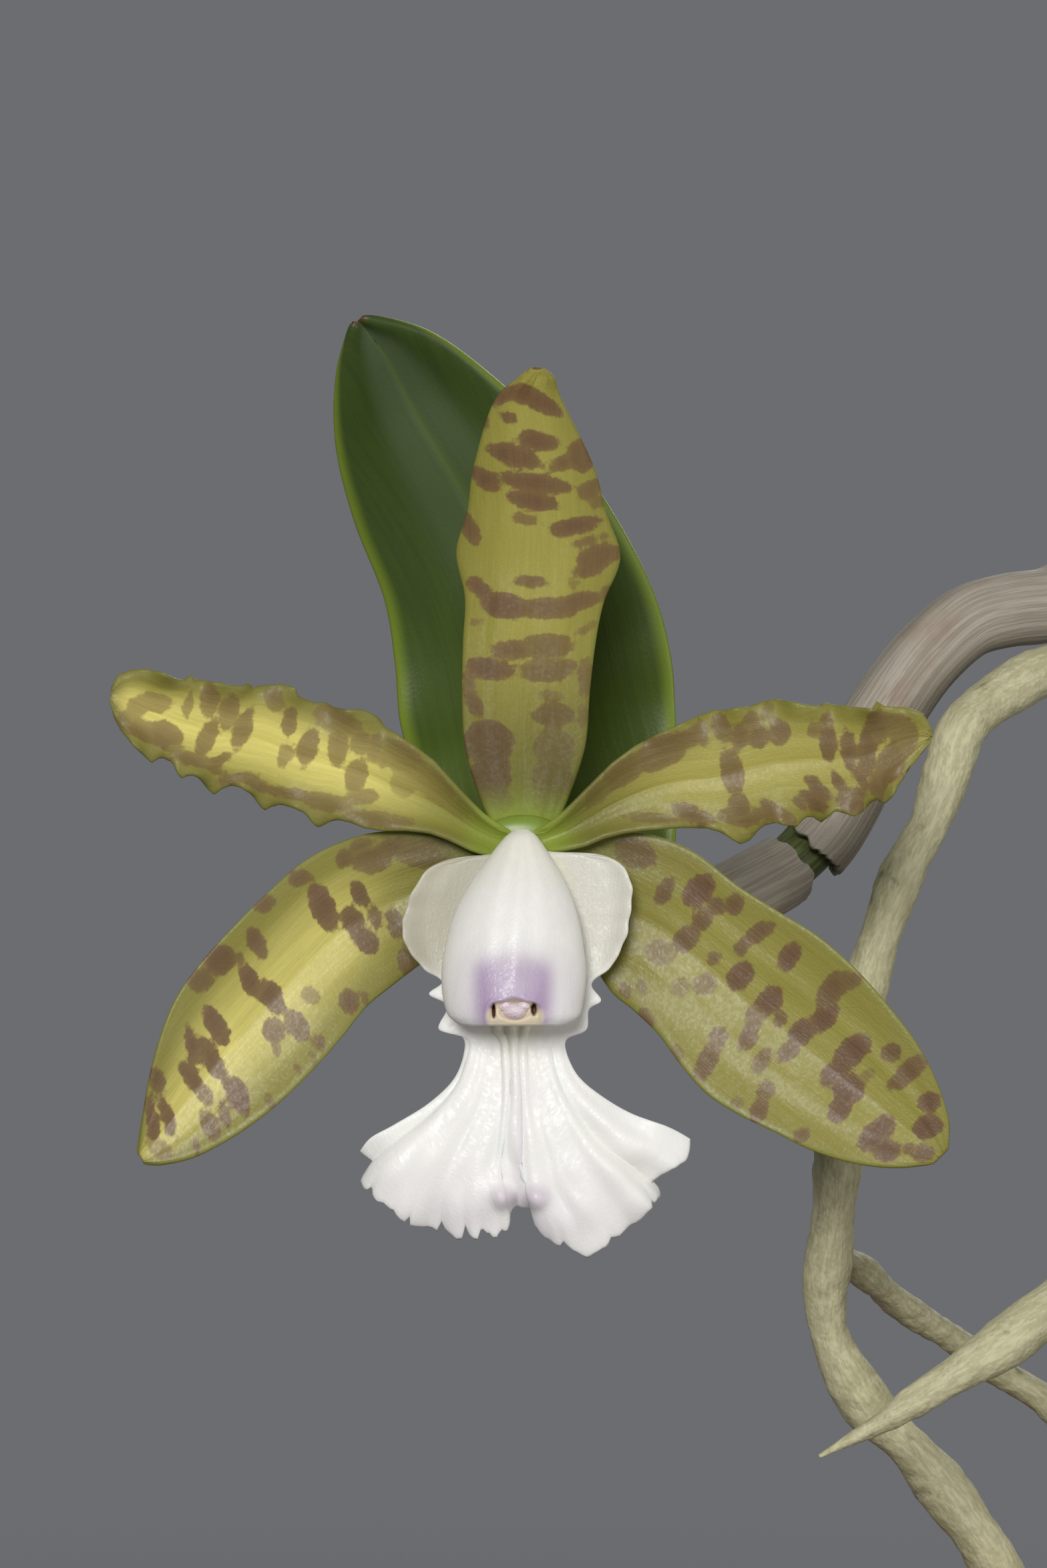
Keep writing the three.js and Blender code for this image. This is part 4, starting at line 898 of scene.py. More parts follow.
# Spine, direction of the right edge, half width, and how deep it folds along its midrib
LEAVES = {
    "flowering_second": (
        [(-45.2, -4.8, 193.4), (-43, 8, 190), (-38, 22, 186.5), (-32, 37, 184.5), (-25, 52, 184.5),
         (-19, 63, 186)],
        (0.76, 0, -0.65), 13, 0.3,
    ),
    "back_first": (
        [(61.3, 38, 177.2), (66, 39.6, 188), (78, 43, 201), (92, 46, 210), (107, 48, 214)],
        (0.25, -0.95, 0.1), 15, 0.32,
    ),
    "back_second": (
        [(60.6, 38.6, 177.2), (57, 45, 188), (52, 57, 201), (47, 72, 209), (43, 87, 211)],
        (-0.9, -0.35, 0.1), 14, 0.32,
    ),
    "front_first": (
        [(61.4, -14, 219), (66, -9.6, 230), (76, -1, 243), (88, 8, 252), (101, 17, 256)],
        (0.6, -0.75, 0.1), 14.5, 0.32,
    ),
    "front_second": (
        [(61, -14.4, 219), (61, -22, 230), (60, -35, 241), (58, -50, 246), (56, -64, 245)],
        (-1, 0, 0.15), 14, 0.32,
    ),
}

ROOTS = {
    "hanging": (
        Route([
            (22, 15, 220), (18.5, 13.5, 226), (14.6, 12, 228.3), (9.2, 9, 227.9), (2.9, 6, 226.5),
            (-2.2, 3, 224), (-6.2, 0, 221.4), (-8.7, -2, 218.7), (-10.2, -3, 214.5), (-12.5, -5, 208.3),
            (-15.8, -7, 201.8), (-18.9, -9, 194.2), (-21, -10, 186.9), (-22.8, -11, 178),
            (-24.2, -12, 166.8), (-24.9, -11, 157.8), (-25.6, -10, 150.4), (-24.4, -9, 143.9),
            (-20.1, -8, 136.7), (-15.7, -8, 132), (-12.5, -7, 128.1), (-9.2, -7, 123.9),
            (-6.2, -7, 119.7), (-3.9, -6, 114.2), (-3, -5, 107), (-3, -4, 86),
        ]),
        keys(2.6, 3.1, 3.1, 3, 2.6, 2.8, 2.9, 2.9, 2.8, 3, 3, 3.1, 2.8, 1.8),
    ),
    "front": (
        Route([
            (24, 14, 186), (20, 4, 176), (15, -11, 167), (10, -23, 160), (4.9, -30, 155.2),
            (-1.1, -34, 150.9), (-6.7, -37, 147.4), (-12, -38, 144.2), (-18.3, -38, 140),
            (-23.8, -38, 136.8), (-27.9, -38, 134.5),
        ]),
        keys(2.6, 2.9, 3, 3.1, 3.2, 3.3, 3.2, 2.9, 2.4, 1.7, 0.35),
    ),
    "low_left": (
        Route([(22, 11, 122), (15, 4, 118), (9, -6, 112), (5, -16, 103), (3, -21, 84)]),
        keys(2.4, 2.8, 2.8, 2.7, 1.8),
    ),
    "low_right": (
        Route([(27, 12, 108), (34, 4, 109), (41, -6, 105), (43, -14, 97), (43, -18, 82)]),
        keys(2.4, 2.8, 2.9, 2.7, 1.8),
    ),
    "low_back": (
        Route([(25, 14, 112), (24, 24, 112), (17, 34, 107), (12, 38, 98), (11, 39, 82)]),
        keys(2.3, 2.6, 2.7, 2.6, 1.8),
    ),
}


def rhizome_shape():
    def radius(t, angle):
        joint = bump((t * 9.0) % 1.0, 0.5, 0.16)
        size = 3.3 + 0.7 * joint - 1.2 * smooth((t - 0.94) / 0.06)
        rings = 0.16 * np.sin(t * 9.0 * 2.0 * np.pi * 5.0) * bump((t * 9.0) % 1.0, 0.5, 0.3)
        folds = 0.12 * np.sin(11.0 * angle + 9.0 * t) + 0.1 * np.sin(5.0 * angle - 14.0 * t)
        return size + rings + folds - 0.12

    return tube(RHIZOME, *RHIZOME_MESH, radius)


def bulb_shape(name):
    route, radius, rings, _ = BULBS[name]

    def size(t, angle):
        flutes = 0.09 * np.sin(9.0 * angle + 1.2 * np.sin(6.0 * t)) + 0.06 * np.sin(14.0 * angle)
        node = bump((t * rings / 4.0) % 1.0, 0.5, 0.05)
        shrunk = 0.25 * smooth(np.sin(7.0 * angle)) if name == "old" else 0.0
        return radius(t) + flutes * smooth(8.0 * t) + 0.2 * node - 0.1 - shrunk

    return tube(route, *BULB_MESH, size, seed=len(name))


def sheath_shape(name, seed, first=None, last=None, lean=None):
    """A dry papery sheath: an outer and an inner face round the stem, joined at two ragged ends"""
    route, radius, rings, (start, end, slant) = BULBS[name]
    start, end = first or start, last or end
    slant = slant if lean is None else lean
    rows, sides = SHEATH_MESH
    part = (close_to_ends(rows, 0.6) + 1.0) / 2.0
    angle = np.linspace(0.0, 2.0 * np.pi, sides, endpoint=False)
    along, around = np.meshgrid(part, angle, indexing="ij")
    circle = np.stack([4.0 * np.sin(around), 4.0 * np.cos(around), 0.0 * around], axis=-1)
    ragged = 0.35 * uneven(circle, 3.5, seed) + 0.14 * uneven(circle, 0.9, seed + 1)
    reach = (end - start) / rings
    at = start / rings + reach * along
    slide = slant * np.sin(around) * smooth(at)
    edge = ragged / route.length * (smooth((along - 0.8) / 0.2) * 1.4 - smooth((0.15 - along) / 0.15))
    at = at + slide + edge
    flare = SHEATH_GAP + 0.35 * smooth(along)
    lines = circle * [2.2, 2.2, 1.0] + np.stack([0.0 * at, 0.0 * at, at * route.length * 0.12], axis=-1)
    wrinkle = 0.04 * uneven(lines, 5.0, seed + 2) + 0.015 * uneven(lines * 2.3, 4.0, seed + 3)
    inner = radius(np.clip(at, 0.0, 1.0)) + flare
    # One edge of the sheath overlaps the other
    lap = smooth(around / 0.5) * (1.0 - smooth((around - 5.2) / 1.05))
    outer = inner + SHEATH * (0.55 + 0.45 * lap) + wrinkle
    shells = []
    for size in (outer, inner - 0.05):
        shells.append(np.broadcast_to(size, along.shape))
    both = [np.concatenate([shells[0], shells[1][::-1]]), np.concatenate([at, at[::-1]])]
    around = np.concatenate([around, around])
    place, _, side, over = route.at(both[1])
    across = np.sin(around)[..., None] * side + np.cos(around)[..., None] * over
    points = place + across * both[0][..., None]
    grain = np.stack([
        both[0] * np.sin(around), both[0] * np.cos(around), both[1] * route.length,
    ], axis=-1)
    inside = np.concatenate([0.0 * along, 0.0 * along + 1.0])
    spot = np.stack([np.concatenate([along, along[::-1]]), around / (2.0 * np.pi), inside], axis=-1)
    return Shape(
        points,
        ring_faces(2 * rows, sides, True),
        grain=(grain + seed * GRAIN_STEP).reshape(-1, 3),
        place=spot.reshape(-1, 3),
    )


def root_shape(route, radius, seed):
    length = route.length

    def size(t, angle):
        where = np.stack([3.0 * np.sin(angle), 3.0 * np.cos(angle), t * length], axis=-1)
        lumpy = 0.22 * uneven(where, 11.0, seed) + 0.05 * uneven(where, 2.8, seed + 1, 20)
        pits = -0.1 * smooth(uneven(where, 3.4, seed + 2, 20) - 0.9)
        return radius(t) + (lumpy + pits) * smooth(radius(t) / 1.5 - 0.3) - 0.08

    return tube(route, int(min(2.8 * length, 500)), 40, size, seed=seed)


def midrib(t, s):
    """How deep the groove over a leaf's midrib is"""
    return 0.35 * bump(s, 0.0, 0.05) * smooth(5.0 * t) * smooth(3.0 * (1.0 - t))


def leaf_depth(t, s):
    fold = (4.5 - 2.6 * t) * np.abs(s) ** 1.4 - 1.5 * t * s ** 4
    w = LEAF_DEPTH(t) + fold * smooth(6.0 * t + 0.2)
    flat = np.stack([14.0 * s, 0.0 * s, 80.0 * t], axis=-1)
    return w - midrib(t, s) + 0.14 * uneven(flat, 17.0, 61)


def leaf_surface(spine, side, half_width, fold, seed):
    route = Route(spine)
    side = np.asarray(side, float)

    def surface(t, s):
        middle, ahead, _, _ = route.at(t)
        right = side - ahead * (ahead @ side)[..., None]
        right = right / np.linalg.norm(right, axis=-1, keepdims=True)
        up = np.cross(right, ahead)
        tip = np.sqrt(np.clip(1.0 - np.clip((t - 0.965) / 0.035, 0.0, 1.0) ** 2, 0.0, 1.0))
        flat = np.stack([14.0 * s, 0.0 * s, 70.0 * t], axis=-1)
        width = half_width * LEAF_WIDTH(t) * (0.15 + 0.85 * tip)
        rise = fold * width * np.abs(s) ** 1.3 * (1.3 - 0.6 * t)
        rise = rise - midrib(t, s) + 0.2 * uneven(flat, 19.0, seed)
        return middle + right * (width * s)[..., None] + up * rise[..., None]

    return surface


# The pot and what fills it

def inner_radius(z):
    slope = (POT_INNER_TOP - POT_INNER_FOOT) / (POT_HEIGHT - 1.5 - POT_FLOOR)
    return POT_INNER_FOOT + slope * (z - POT_FLOOR)


def turned_shape(outline, sides, uneven_by=None):
    """An outline of radii and heights turned round the upright axis"""
    angle = np.linspace(0.0, 2.0 * np.pi, sides, endpoint=False)
    radius, around = np.meshgrid(outline[:, 0], angle, indexing="ij")
    height = np.repeat(outline[:, 1:], sides, axis=1)
    if uneven_by:
        radius, height = uneven_by(radius, height, around)
    points = np.stack([radius * np.cos(around), radius * np.sin(around), height], axis=-1)
    return Shape(points, ring_faces(*radius.shape))


def pot_shape():
    corners = [
        (0, 0), (POT_FOOT_RADIUS - 1.5, 0), (POT_FOOT_RADIUS, 1.5), (POT_BODY_RADIUS, RIM_FOOT - 1),
        (POT_RIM_RADIUS - 1.6, RIM_FOOT), (POT_RIM_RADIUS - 0.6, RIM_FOOT + 1.4),
        (POT_RIM_RADIUS, POT_HEIGHT - 2.4), (POT_RIM_RADIUS - 1.6, POT_HEIGHT - 0.2),
        (RIM_CREST, POT_HEIGHT), (POT_INNER_TOP + 1.4, POT_HEIGHT - 0.3),
        (POT_INNER_TOP, POT_HEIGHT - 2.2),
        (POT_INNER_FOOT, POT_FLOOR), (0, POT_FLOOR),
    ]
    line, _ = evenly(corners, POT_MESH[0])
    for _ in range(3):
        line[1:-1] = (line[:-2] + 2.0 * line[1:-1] + line[2:]) / 4.0

    def thrown(radius, height, around):
        where = np.stack([50.0 * np.cos(around), 50.0 * np.sin(around), height], axis=-1)
        outside = smooth((radius - POT_FOOT_RADIUS + 1.0) / 2.0) * smooth(height / 4.0)
        rings = 0.09 * np.sin(height * 2.1) + 0.05 * np.sin(height * 5.3 + 1.0)
        return radius + outside * (rings + 0.1 * uneven(where, 26.0, 71)), height

    return turned_shape(line, POT_MESH[1], thrown)


def drain_holes(piece):
    """Cuts round holes through the pot's floor"""
    outline = np.array([
        (0, -12), (DRAIN_RADIUS + 0.4, -12), (DRAIN_RADIUS, 1.5), (DRAIN_RADIUS, POT_FLOOR - 1),
        (DRAIN_RADIUS + 0.6, 24), (0, 24),
    ])
    tools = None
    for k in range(DRAIN_HOLES):
        angle = 2.0 * math.pi * (k + 0.5) / DRAIN_HOLES
        tool = turned_shape(outline, 48)
        tool.points += [DRAIN_RING * math.cos(angle), DRAIN_RING * math.sin(angle), 0.0]
        tools = tools.add(tool) if tools else tool
    mesh = mesh_of("drain_tool", tools)
    weld(mesh)
    tool = bpy.data.objects.new("drain_tool", mesh)
    bpy.context.scene.collection.objects.link(tool)
    cut = piece.modifiers.new("drain", "BOOLEAN")
    cut.object = tool
    cut.operation = "DIFFERENCE"
    cut.solver = "EXACT"
    graph = bpy.context.evaluated_depsgraph_get()
    done = bpy.data.meshes.new_from_object(piece.evaluated_get(graph))
    piece.modifiers.remove(cut)
    piece.data = done
    bpy.data.objects.remove(tool)
    bpy.data.meshes.remove(mesh)


def seeded(seed):
    state = seed
    while True:
        state = (state * 1664525 + 1013904223) % 4294967296
        yield state / 4294967296


def turn_of(x, y, z):
    """Turns round the X, then the Y, then the Z axis"""
    cx, sx, cy, sy, cz, sz = (f(a) for a in (x, y, z) for f in (math.cos, math.sin))
    about_x = np.array([(1, 0, 0), (0, cx, -sx), (0, sx, cx)])
    about_y = np.array([(cy, 0, sy), (0, 1, 0), (-sy, 0, cy)])
    about_z = np.array([(cz, -sz, 0), (sz, cz, 0), (0, 0, 1)])
    return about_z @ about_y @ about_x


def chip_shape(centre, size, pinch, turn, seed):
    def broken(way):
        layers = 0.03 * np.sign(np.sin(way[..., 2] * 9.0 + seed)) * (1.0 - np.abs(way[..., 2]))
        narrow = np.where(way[..., 0] > 0.0, -(1.0 - pinch) * 0.35 * np.abs(way[..., 1]), 0.0)
        rough = 0.07 * uneven(way * 4.0, 5.0, seed) + 0.035 * uneven(way * 4.0, 1.7, seed + 1)
        return 1.0 + rough + layers + narrow

    return lump(centre, np.asarray(size) / 2.0, *CHIP_MESH, broken, square=5.0, turn=turn, seed=seed)


def mound(share):
    """How high the bark is at a share of its radius"""
    return BARK_EDGE + (BARK_CROWN - BARK_EDGE) * (1.0 - share ** 2)


def on_mound(out, angle, above):
    height = mound(out / POT_INNER_TOP) + above
    return out * math.cos(angle), out * math.sin(angle), height


def bark_shape(crown_chips, small_chips):
    top = inner_radius(BARK_EDGE) - BARK_GAP
    base = POT_FLOOR + BARK_GAP
    corners = [(0, base), (inner_radius(base) - BARK_GAP, base), (top, BARK_EDGE)]
    for share in (0.8, 0.66, 0.5, 0.33, 0.16, 0.0):
        corners.append((top * share, mound(share)))
    line, _ = evenly(corners, BARK_MESH[0])

    def rough(radius, height, around):
        where = np.stack([radius * np.cos(around), radius * np.sin(around), 0.0 * radius], axis=-1)
        up = smooth((height - BARK_EDGE + 2.0) / 2.0)
        return radius, height + up * (0.7 * uneven(where, 7.0, 81) + 0.35 * uneven(where, 2.5, 82) - 0.9)

    bed = turned_shape(line, BARK_MESH[1], rough)
    bed.marks = {"grain": bed.points.copy(), "place": 0.0 * bed.points}
    random = seeded(7)
    for k in range(crown_chips):
        out = CROWN_CHIP_RING * math.sqrt((k + 0.5) / crown_chips)
        angle = k * GOLDEN_ANGLE + 0.3 * next(random)
        size = [side * (0.7 + 0.5 * next(random)) for side in CROWN_CHIP]
        pinch = 0.55 + 0.4 * next(random)
        lean = [0.5 * (next(random) - 0.5) for _ in range(2)]
        turn = turn_of(*lean, 2.0 * math.pi * next(random))
        centre = on_mound(out, angle, 0.4 + 1.2 * next(random))
        bed.add(chip_shape(centre, np.array(size) * 0.93, pinch, turn, k + 1))
    draw = np.random.default_rng(83)
    for k in range(small_chips):
        out = SMALL_CHIP_RING * math.sqrt((k + 0.5) / small_chips)
        angle = k * GOLDEN_ANGLE * 1.7 + draw.uniform(0.0, 0.5)
        size = draw.uniform(0.55, 1.0) * np.array(SMALL_CHIP) * draw.uniform(0.8, 1.2, 3)
        turn = turn_of(*draw.uniform(-0.7, 0.7, 2), draw.uniform(0.0, 2.0 * math.pi))
        centre = on_mound(out, angle, draw.uniform(0.6, 4.2))
        bed.add(chip_shape(centre, size, 0.8, turn, 40 + k))
    # Nothing passes through the pot's wall
    far = np.hypot(bed.points[:, 0], bed.points[:, 1])
    room = inner_radius(bed.points[:, 2]) - BARK_GAP
    bed.points[:, :2] *= np.minimum(1.0, room / np.maximum(far, 1e-6))[:, None]
    return bed


# Shader helpers

class Net:
    """Adds nodes to a material or a node group"""

    def __init__(self, tree):
        self.tree = tree

    def fill(self, made, inputs):
        """Links or sets a node's inputs"""
        for name, value in inputs.items():
            if isinstance(value, bpy.types.NodeSocket):
                self.tree.links.new(value, made.inputs[name])
            else:
                made.inputs[name].default_value = value

    def node(self, kind, inputs=(), **settings):
        made = self.tree.nodes.new(kind)
        for name, value in settings.items():
            setattr(made, name, value)
        self.fill(made, dict(inputs))
        return made

    def math(self, operation, *values):
        return self.node("ShaderNodeMath", dict(enumerate(values)), operation=operation).outputs[0]

    def plus(self, first, second):
        return self.math("ADD", first, second)

    def minus(self, first, second):
        return self.math("SUBTRACT", first, second)

    def times(self, first, second):
        return self.math("MULTIPLY", first, second)

    def vector(self, operation, *values):
        return self.node("ShaderNodeVectorMath", dict(enumerate(values)), operation=operation).outputs[0]

    def ramp(self, value, low, high, start=0.0, end=1.0):
        """A soft step from start to end while value goes from low to high"""
        inputs = {"Value": value, "From Min": low, "From Max": high, "To Min": start, "To Max": end}
        return self.node("ShaderNodeMapRange", inputs, interpolation_type="SMOOTHSTEP").outputs[0]

    def mix(self, factor, first, second, blend="MIX"):
        inputs = {0: factor, 6: first, 7: second}
        return self.node("ShaderNodeMix", inputs, data_type="RGBA", blend_type=blend).outputs[2]

    def noise(self, vector, scale, detail=3.0, roughness=0.55):
        inputs = {"Vector": vector, "Scale": scale, "Detail": detail, "Roughness": roughness}
        return self.node("ShaderNodeTexNoise", inputs).outputs["Fac"]

    def mark(self, name, output="Fac"):
        return self.node("ShaderNodeAttribute", attribute_name=name).outputs[output]

    def split(self, vector):
        return self.node("ShaderNodeSeparateXYZ", {0: vector}).outputs

    def use(self, group, **inputs):
        return self.node("ShaderNodeGroup", inputs, node_tree=group).outputs

    def fibres(self, grain, across, along):
        return self.use(streaks(), Vector=grain, Across=across, Along=along)["Streaks"]

    def spread(self, grain, size, amount, softness):
        return self.use(patches(), Vector=grain, Size=size, Amount=amount, Softness=softness)["Mask"]


def group(name, inputs, outputs, build):
    """A shared node group, made once. build gets the net and its input sockets, and gives the outputs."""
    if name in bpy.data.node_groups:
        return bpy.data.node_groups[name]
    tree = bpy.data.node_groups.new(name, "ShaderNodeTree")
    for socket, (kind, value) in inputs.items():
        made = tree.interface.new_socket(name=socket, in_out="INPUT", socket_type=f"NodeSocket{kind}")
        if kind == "Float":
            made.default_value = value
    for socket, kind in outputs.items():
        tree.interface.new_socket(name=socket, in_out="OUTPUT", socket_type=f"NodeSocket{kind}")
    net = Net(tree)
    given = tree.nodes.new("NodeGroupInput")
    taken = tree.nodes.new("NodeGroupOutput")
    for socket, value in build(net, given.outputs).items():
        tree.links.new(value, taken.inputs[socket])
    return tree


def streaks():
    """Long fibres that run along a stem or a blade, from 0 to 1"""
    def build(net, given):
        across = given["Across"]
        pace = net.node("ShaderNodeCombineXYZ", {0: across, 1: across, 2: given["Along"]})
        stretched = net.vector("MULTIPLY", given["Vector"], pace.outputs[0])
        coarse = net.noise(stretched, 1.0, 2.0)
        fine = net.noise(stretched, 3.1, 3.0, 0.65)
        both = net.plus(net.times(coarse, 0.55), net.times(fine, 0.45))
        return {"Streaks": net.ramp(both, 0.36, 0.64)}

    inputs = {"Vector": ("Vector", None), "Across": ("Float", 1.0), "Along": ("Float", 0.1)}
    return group("Fibre streaks", inputs, {"Streaks": "Float"}, build)


def patches():
    """Irregular patches, from 0 between them to 1 inside them"""
    def build(net, given):
        scale = net.math("DIVIDE", 1.0, given["Size"])
        large = net.noise(given["Vector"], scale, 4.0, 0.6)
        low = net.minus(0.75, net.times(given["Amount"], 0.5))
        return {"Mask": net.ramp(large, low, net.plus(low, given["Softness"]))}

    inputs = {
        "Vector": ("Vector", None), "Size": ("Float", 5.0), "Amount": ("Float", 0.5),
        "Softness": ("Float", 0.1),
    }
    return group("Patches", inputs, {"Mask": "Float"}, build)


def cells():
    """The pebbled skin of a petal or a leaf: its height, and its sparkle from 0 to 1"""
    def build(net, given):
        scale = net.math("DIVIDE", 1.0, given["Size"])
        inputs = {"Vector": given["Vector"], "Scale": scale}
        found = net.node("ShaderNodeTexVoronoi", inputs, feature="F1")
        dome = net.ramp(found.outputs["Distance"], 0.75, 0.05)
        shade = net.split(found.outputs["Color"])[0]
        return {"Height": dome, "Sparkle": shade}

    inputs = {"Vector": ("Vector", None), "Size": ("Float", 0.4)}
    return group("Cells", inputs, {"Height": "Float", "Sparkle": "Float"}, build)


def blotch_edge():
    """Turns the depth inside a blotch into a mask with a ragged, slightly soft edge"""
    def build(net, given):
        rough = net.noise(given["Vector"], 1.1, 4.0, 0.62)
        shift = net.times(net.minus(rough, 0.45), given["Raggedness"])
        depth = net.plus(given["Depth"], shift)
        low = net.times(given["Softness"], -0.45)
        high = net.times(given["Softness"], 0.3)
        return {"Mask": net.ramp(depth, low, high), "Heart": net.ramp(depth, 0.0, 0.8)}

    inputs = {
        "Depth": ("Float", 0.0), "Vector": ("Vector", None), "Raggedness": ("Float", 1.2),
        "Softness": ("Float", 0.3),
    }
    return group("Blotch edge", inputs, {"Mask": "Float", "Heart": "Float"}, build)


def zones():
    """Where on a blade a point lies: near its margins, its base, its tip, its midrib, and on its back"""
    def build(net, given):
        along, across, back = net.split(given["Place"])
        side = net.math("ABSOLUTE", across)
        return {
            "Margin": net.ramp(side, net.minus(1.0, given["Width"]), 1.0),
            "Centre": net.ramp(side, 0.85, 0.15),
            "Base": net.ramp(along, 0.28, 0.02),
            "Tip": net.ramp(along, 0.9, 1.0),
            "Midrib": net.ramp(side, 0.12, 0.0),
            "Side": side,
            "Back": back,
            "Along": along,
            "Across": across,
        }

    inputs = {"Place": ("Vector", None), "Width": ("Float", 0.15)}
    names = ("Margin", "Centre", "Base", "Tip", "Midrib", "Side", "Back", "Along", "Across")
    return group("Blade zones", inputs, {name: "Float" for name in names}, build)


def srgb(*levels):
    """A colour from its levels of 0 to 255"""
    shares = [level / 255.0 for level in levels]
    return tuple(x / 12.92 if x <= 0.04045 else ((x + 0.055) / 1.055) ** 2.4 for x in shares)


def colour(*levels):
    return (*srgb(*levels), 1.0)


def material(name, build):
    """A material, made once. build gets the net and gives the shader's inputs, Height and
    Relief in mm."""
    if name in bpy.data.materials:
        return bpy.data.materials[name]
    made = bpy.data.materials.new(name)
    made.use_nodes = True
    net = Net(made.node_tree)
    shader = made.node_tree.nodes["Principled BSDF"]
    values = build(net)
    if "Height" in values:
        inputs = {"Height": values.pop("Height"), "Distance": values.pop("Relief") * MM, "Strength": 1.0}
        values["Normal"] = net.node("ShaderNodeBump", inputs).outputs[0]
    net.fill(shader, values)
    return made


def tone(settings, name):
    return (*getattr(settings, name), 1.0)


# Materials

def tepal_material(settings, name, look):
    """look, each from 0 to 1: how pale the middle is, partly painted glow of light through it, how
    brown the point, how glossy the skin, how strong the blotches, how dull the margins and the tip,
    partly painted shade where they curl away, and how much painted shade darkens the base"""
    glow, tip, gloss, strength, dusk, shade = look

    def build(net):
        grain = net.mark("grain", "Vector")
        zone = net.use(zones(), Place=net.mark("place", "Vector"), Width=0.1)
        fibre = net.fibres(grain, 2.6, 0.12)
        cloud = net.spread(grain, 9.0, 0.5, 0.4)
        skin = net.use(cells(), Vector=grain, Size=0.33)
        # Partly painted light: the middle pales towards the pale glow colour, standing in for light
        # shining through the tepal; glow sets how much, most on the left tepals
        middle = net.times(zone["Centre"], net.ramp(zone["Along"], 0.12, 0.4))
        middle = net.times(middle, net.ramp(cloud, 0.0, 1.0, 0.75, 1.0))
        ground = net.mix(net.times(middle, glow), tone(settings, "tepal_ground"),
                         tone(settings, "tepal_pale_glow"))
        ground = net.mix(net.times(fibre, 0.18), ground, colour(112, 108, 44))
        ground = net.mix(net.times(zone["Base"], 0.9), ground, tone(settings, "tepal_green"))
        edge = net.times(zone["Margin"], 0.45)
        ground = net.mix(edge, ground, tone(settings, "tepal_green"))
        # Darker olive margins and tip: partly their own colour, partly painted shade where they curl away
        # from the light
        olive_and_shade = net.math("MAXIMUM", net.ramp(zone["Side"], 0.5, 1.0, 0.0, 0.7), zone["Tip"])
        olive_and_shade = net.times(olive_and_shade, net.ramp(cloud, 0.0, 1.0, 0.7 * dusk, dusk))
        ground = net.mix(olive_and_shade, ground, colour(104, 98, 58))
        spot = net.use(blotch_edge(), Depth=net.mark("spots"), Vector=grain, Raggedness=1.0, Softness=0.4)
        front = net.minus(1.0, net.times(zone["Back"], 0.7))
        strong = net.times(net.times(spot["Mask"], net.mark("tone")), front)
        heart = net.times(spot["Heart"], 0.6)
        heart = net.plus(heart, net.times(fibre, 0.2))
        brown = net.mix(heart, tone(settings, "blotch"), tone(settings, "blotch_heart"))
        base = net.mix(net.times(strong, strength), ground, brown)
        # Painted shade: the base darkens to olive near the bloom's middle, where the tepals meet and
        # shade falls; shade sets how much
        base = net.mix(net.ramp(zone["Along"], 0.4, 0.14, 0.0, shade), base, colour(78, 70, 30))
        base = net.mix(net.ramp(zone["Along"], 0.14, 0.04, 0.0, 0.85), base, colour(140, 156, 56))
        base = net.mix(net.ramp(zone["Along"], 0.985, 1.0, 0.0, tip), base, colour(120, 84, 62))
        height = net.plus(net.times(fibre, 0.5), net.times(skin["Height"], 0.4))
        return {
            "Base Color": base,
            "Roughness": net.ramp(skin["Sparkle"], 0.0, 1.0, 0.5 - 0.2 * gloss, 0.7 - 0.15 * gloss),
            "Height": height,
            "Relief": 0.03,
            "Specular IOR Level": 0.2 + 0.2 * gloss,
            "Subsurface Weight": 0.06,
            "Subsurface Scale": 0.001,
            "Coat Weight": 0.16 * gloss,
            "Coat Roughness": 0.22,
        }

    return material(name, build)


def leaf_material(settings):
    def build(net):
        grain = net.mark("grain", "Vector")
        zone = net.use(zones(), Place=net.mark("place", "Vector"), Width=0.13)
        fibre = net.fibres(grain, 1.1, 0.03)
        worn = net.spread(grain, 14.0, 0.5, 0.5)
        skin = net.use(cells(), Vector=grain, Size=0.5)
        young = net.plus(net.times(worn, 0.35), net.ramp(zone["Along"], 0.75, 0.1, 0.0, 0.5))
        young = net.plus(young, net.times(fibre, 0.12))
        base = net.mix(young, tone(settings, "leaf_dark"), tone(settings, "leaf_light"))
        # Painted sheen: a greyish tint over the middle of the upper leaf, standing in for light gleaming
        # there
        painted_sheen = net.times(net.ramp(zone["Centre"], 0.35, 1.0), net.ramp(zone["Along"], 0.5, 0.85))
        base = net.mix(net.times(painted_sheen, 0.4), base, tone(settings, "leaf_painted_sheen"))
        base = net.mix(net.times(zone["Margin"], 0.85), base, tone(settings, "leaf_edge"))
        base = net.mix(net.times(zone["Midrib"], 0.12), base, tone(settings, "leaf_edge"))
        under = net.times(zone["Back"], 0.5)
        base = net.mix(under, base, tone(settings, "leaf_edge"))
        tip = net.ramp(zone["Along"], 0.985, 1.0)
        base = net.mix(tip, base, colour(92, 66, 38))
        speck = net.spread(grain, 0.8, 0.12, 0.08)
        base = net.mix(net.times(speck, 0.35), base, colour(150, 150, 110))
        height = net.plus(net.times(fibre, 0.5), net.times(skin["Height"], 0.3))
        return {
            "Base Color": base,
            "Roughness": net.ramp(worn, 0.0, 1.0, 0.38, 0.5),
            "Height": height,
            "Relief": 0.03,
            "Specular IOR Level": 0.25,
            "Coat Weight": 0.06,
            "Coat Roughness": 0.3,
        }

    return material("leaf_green", build)


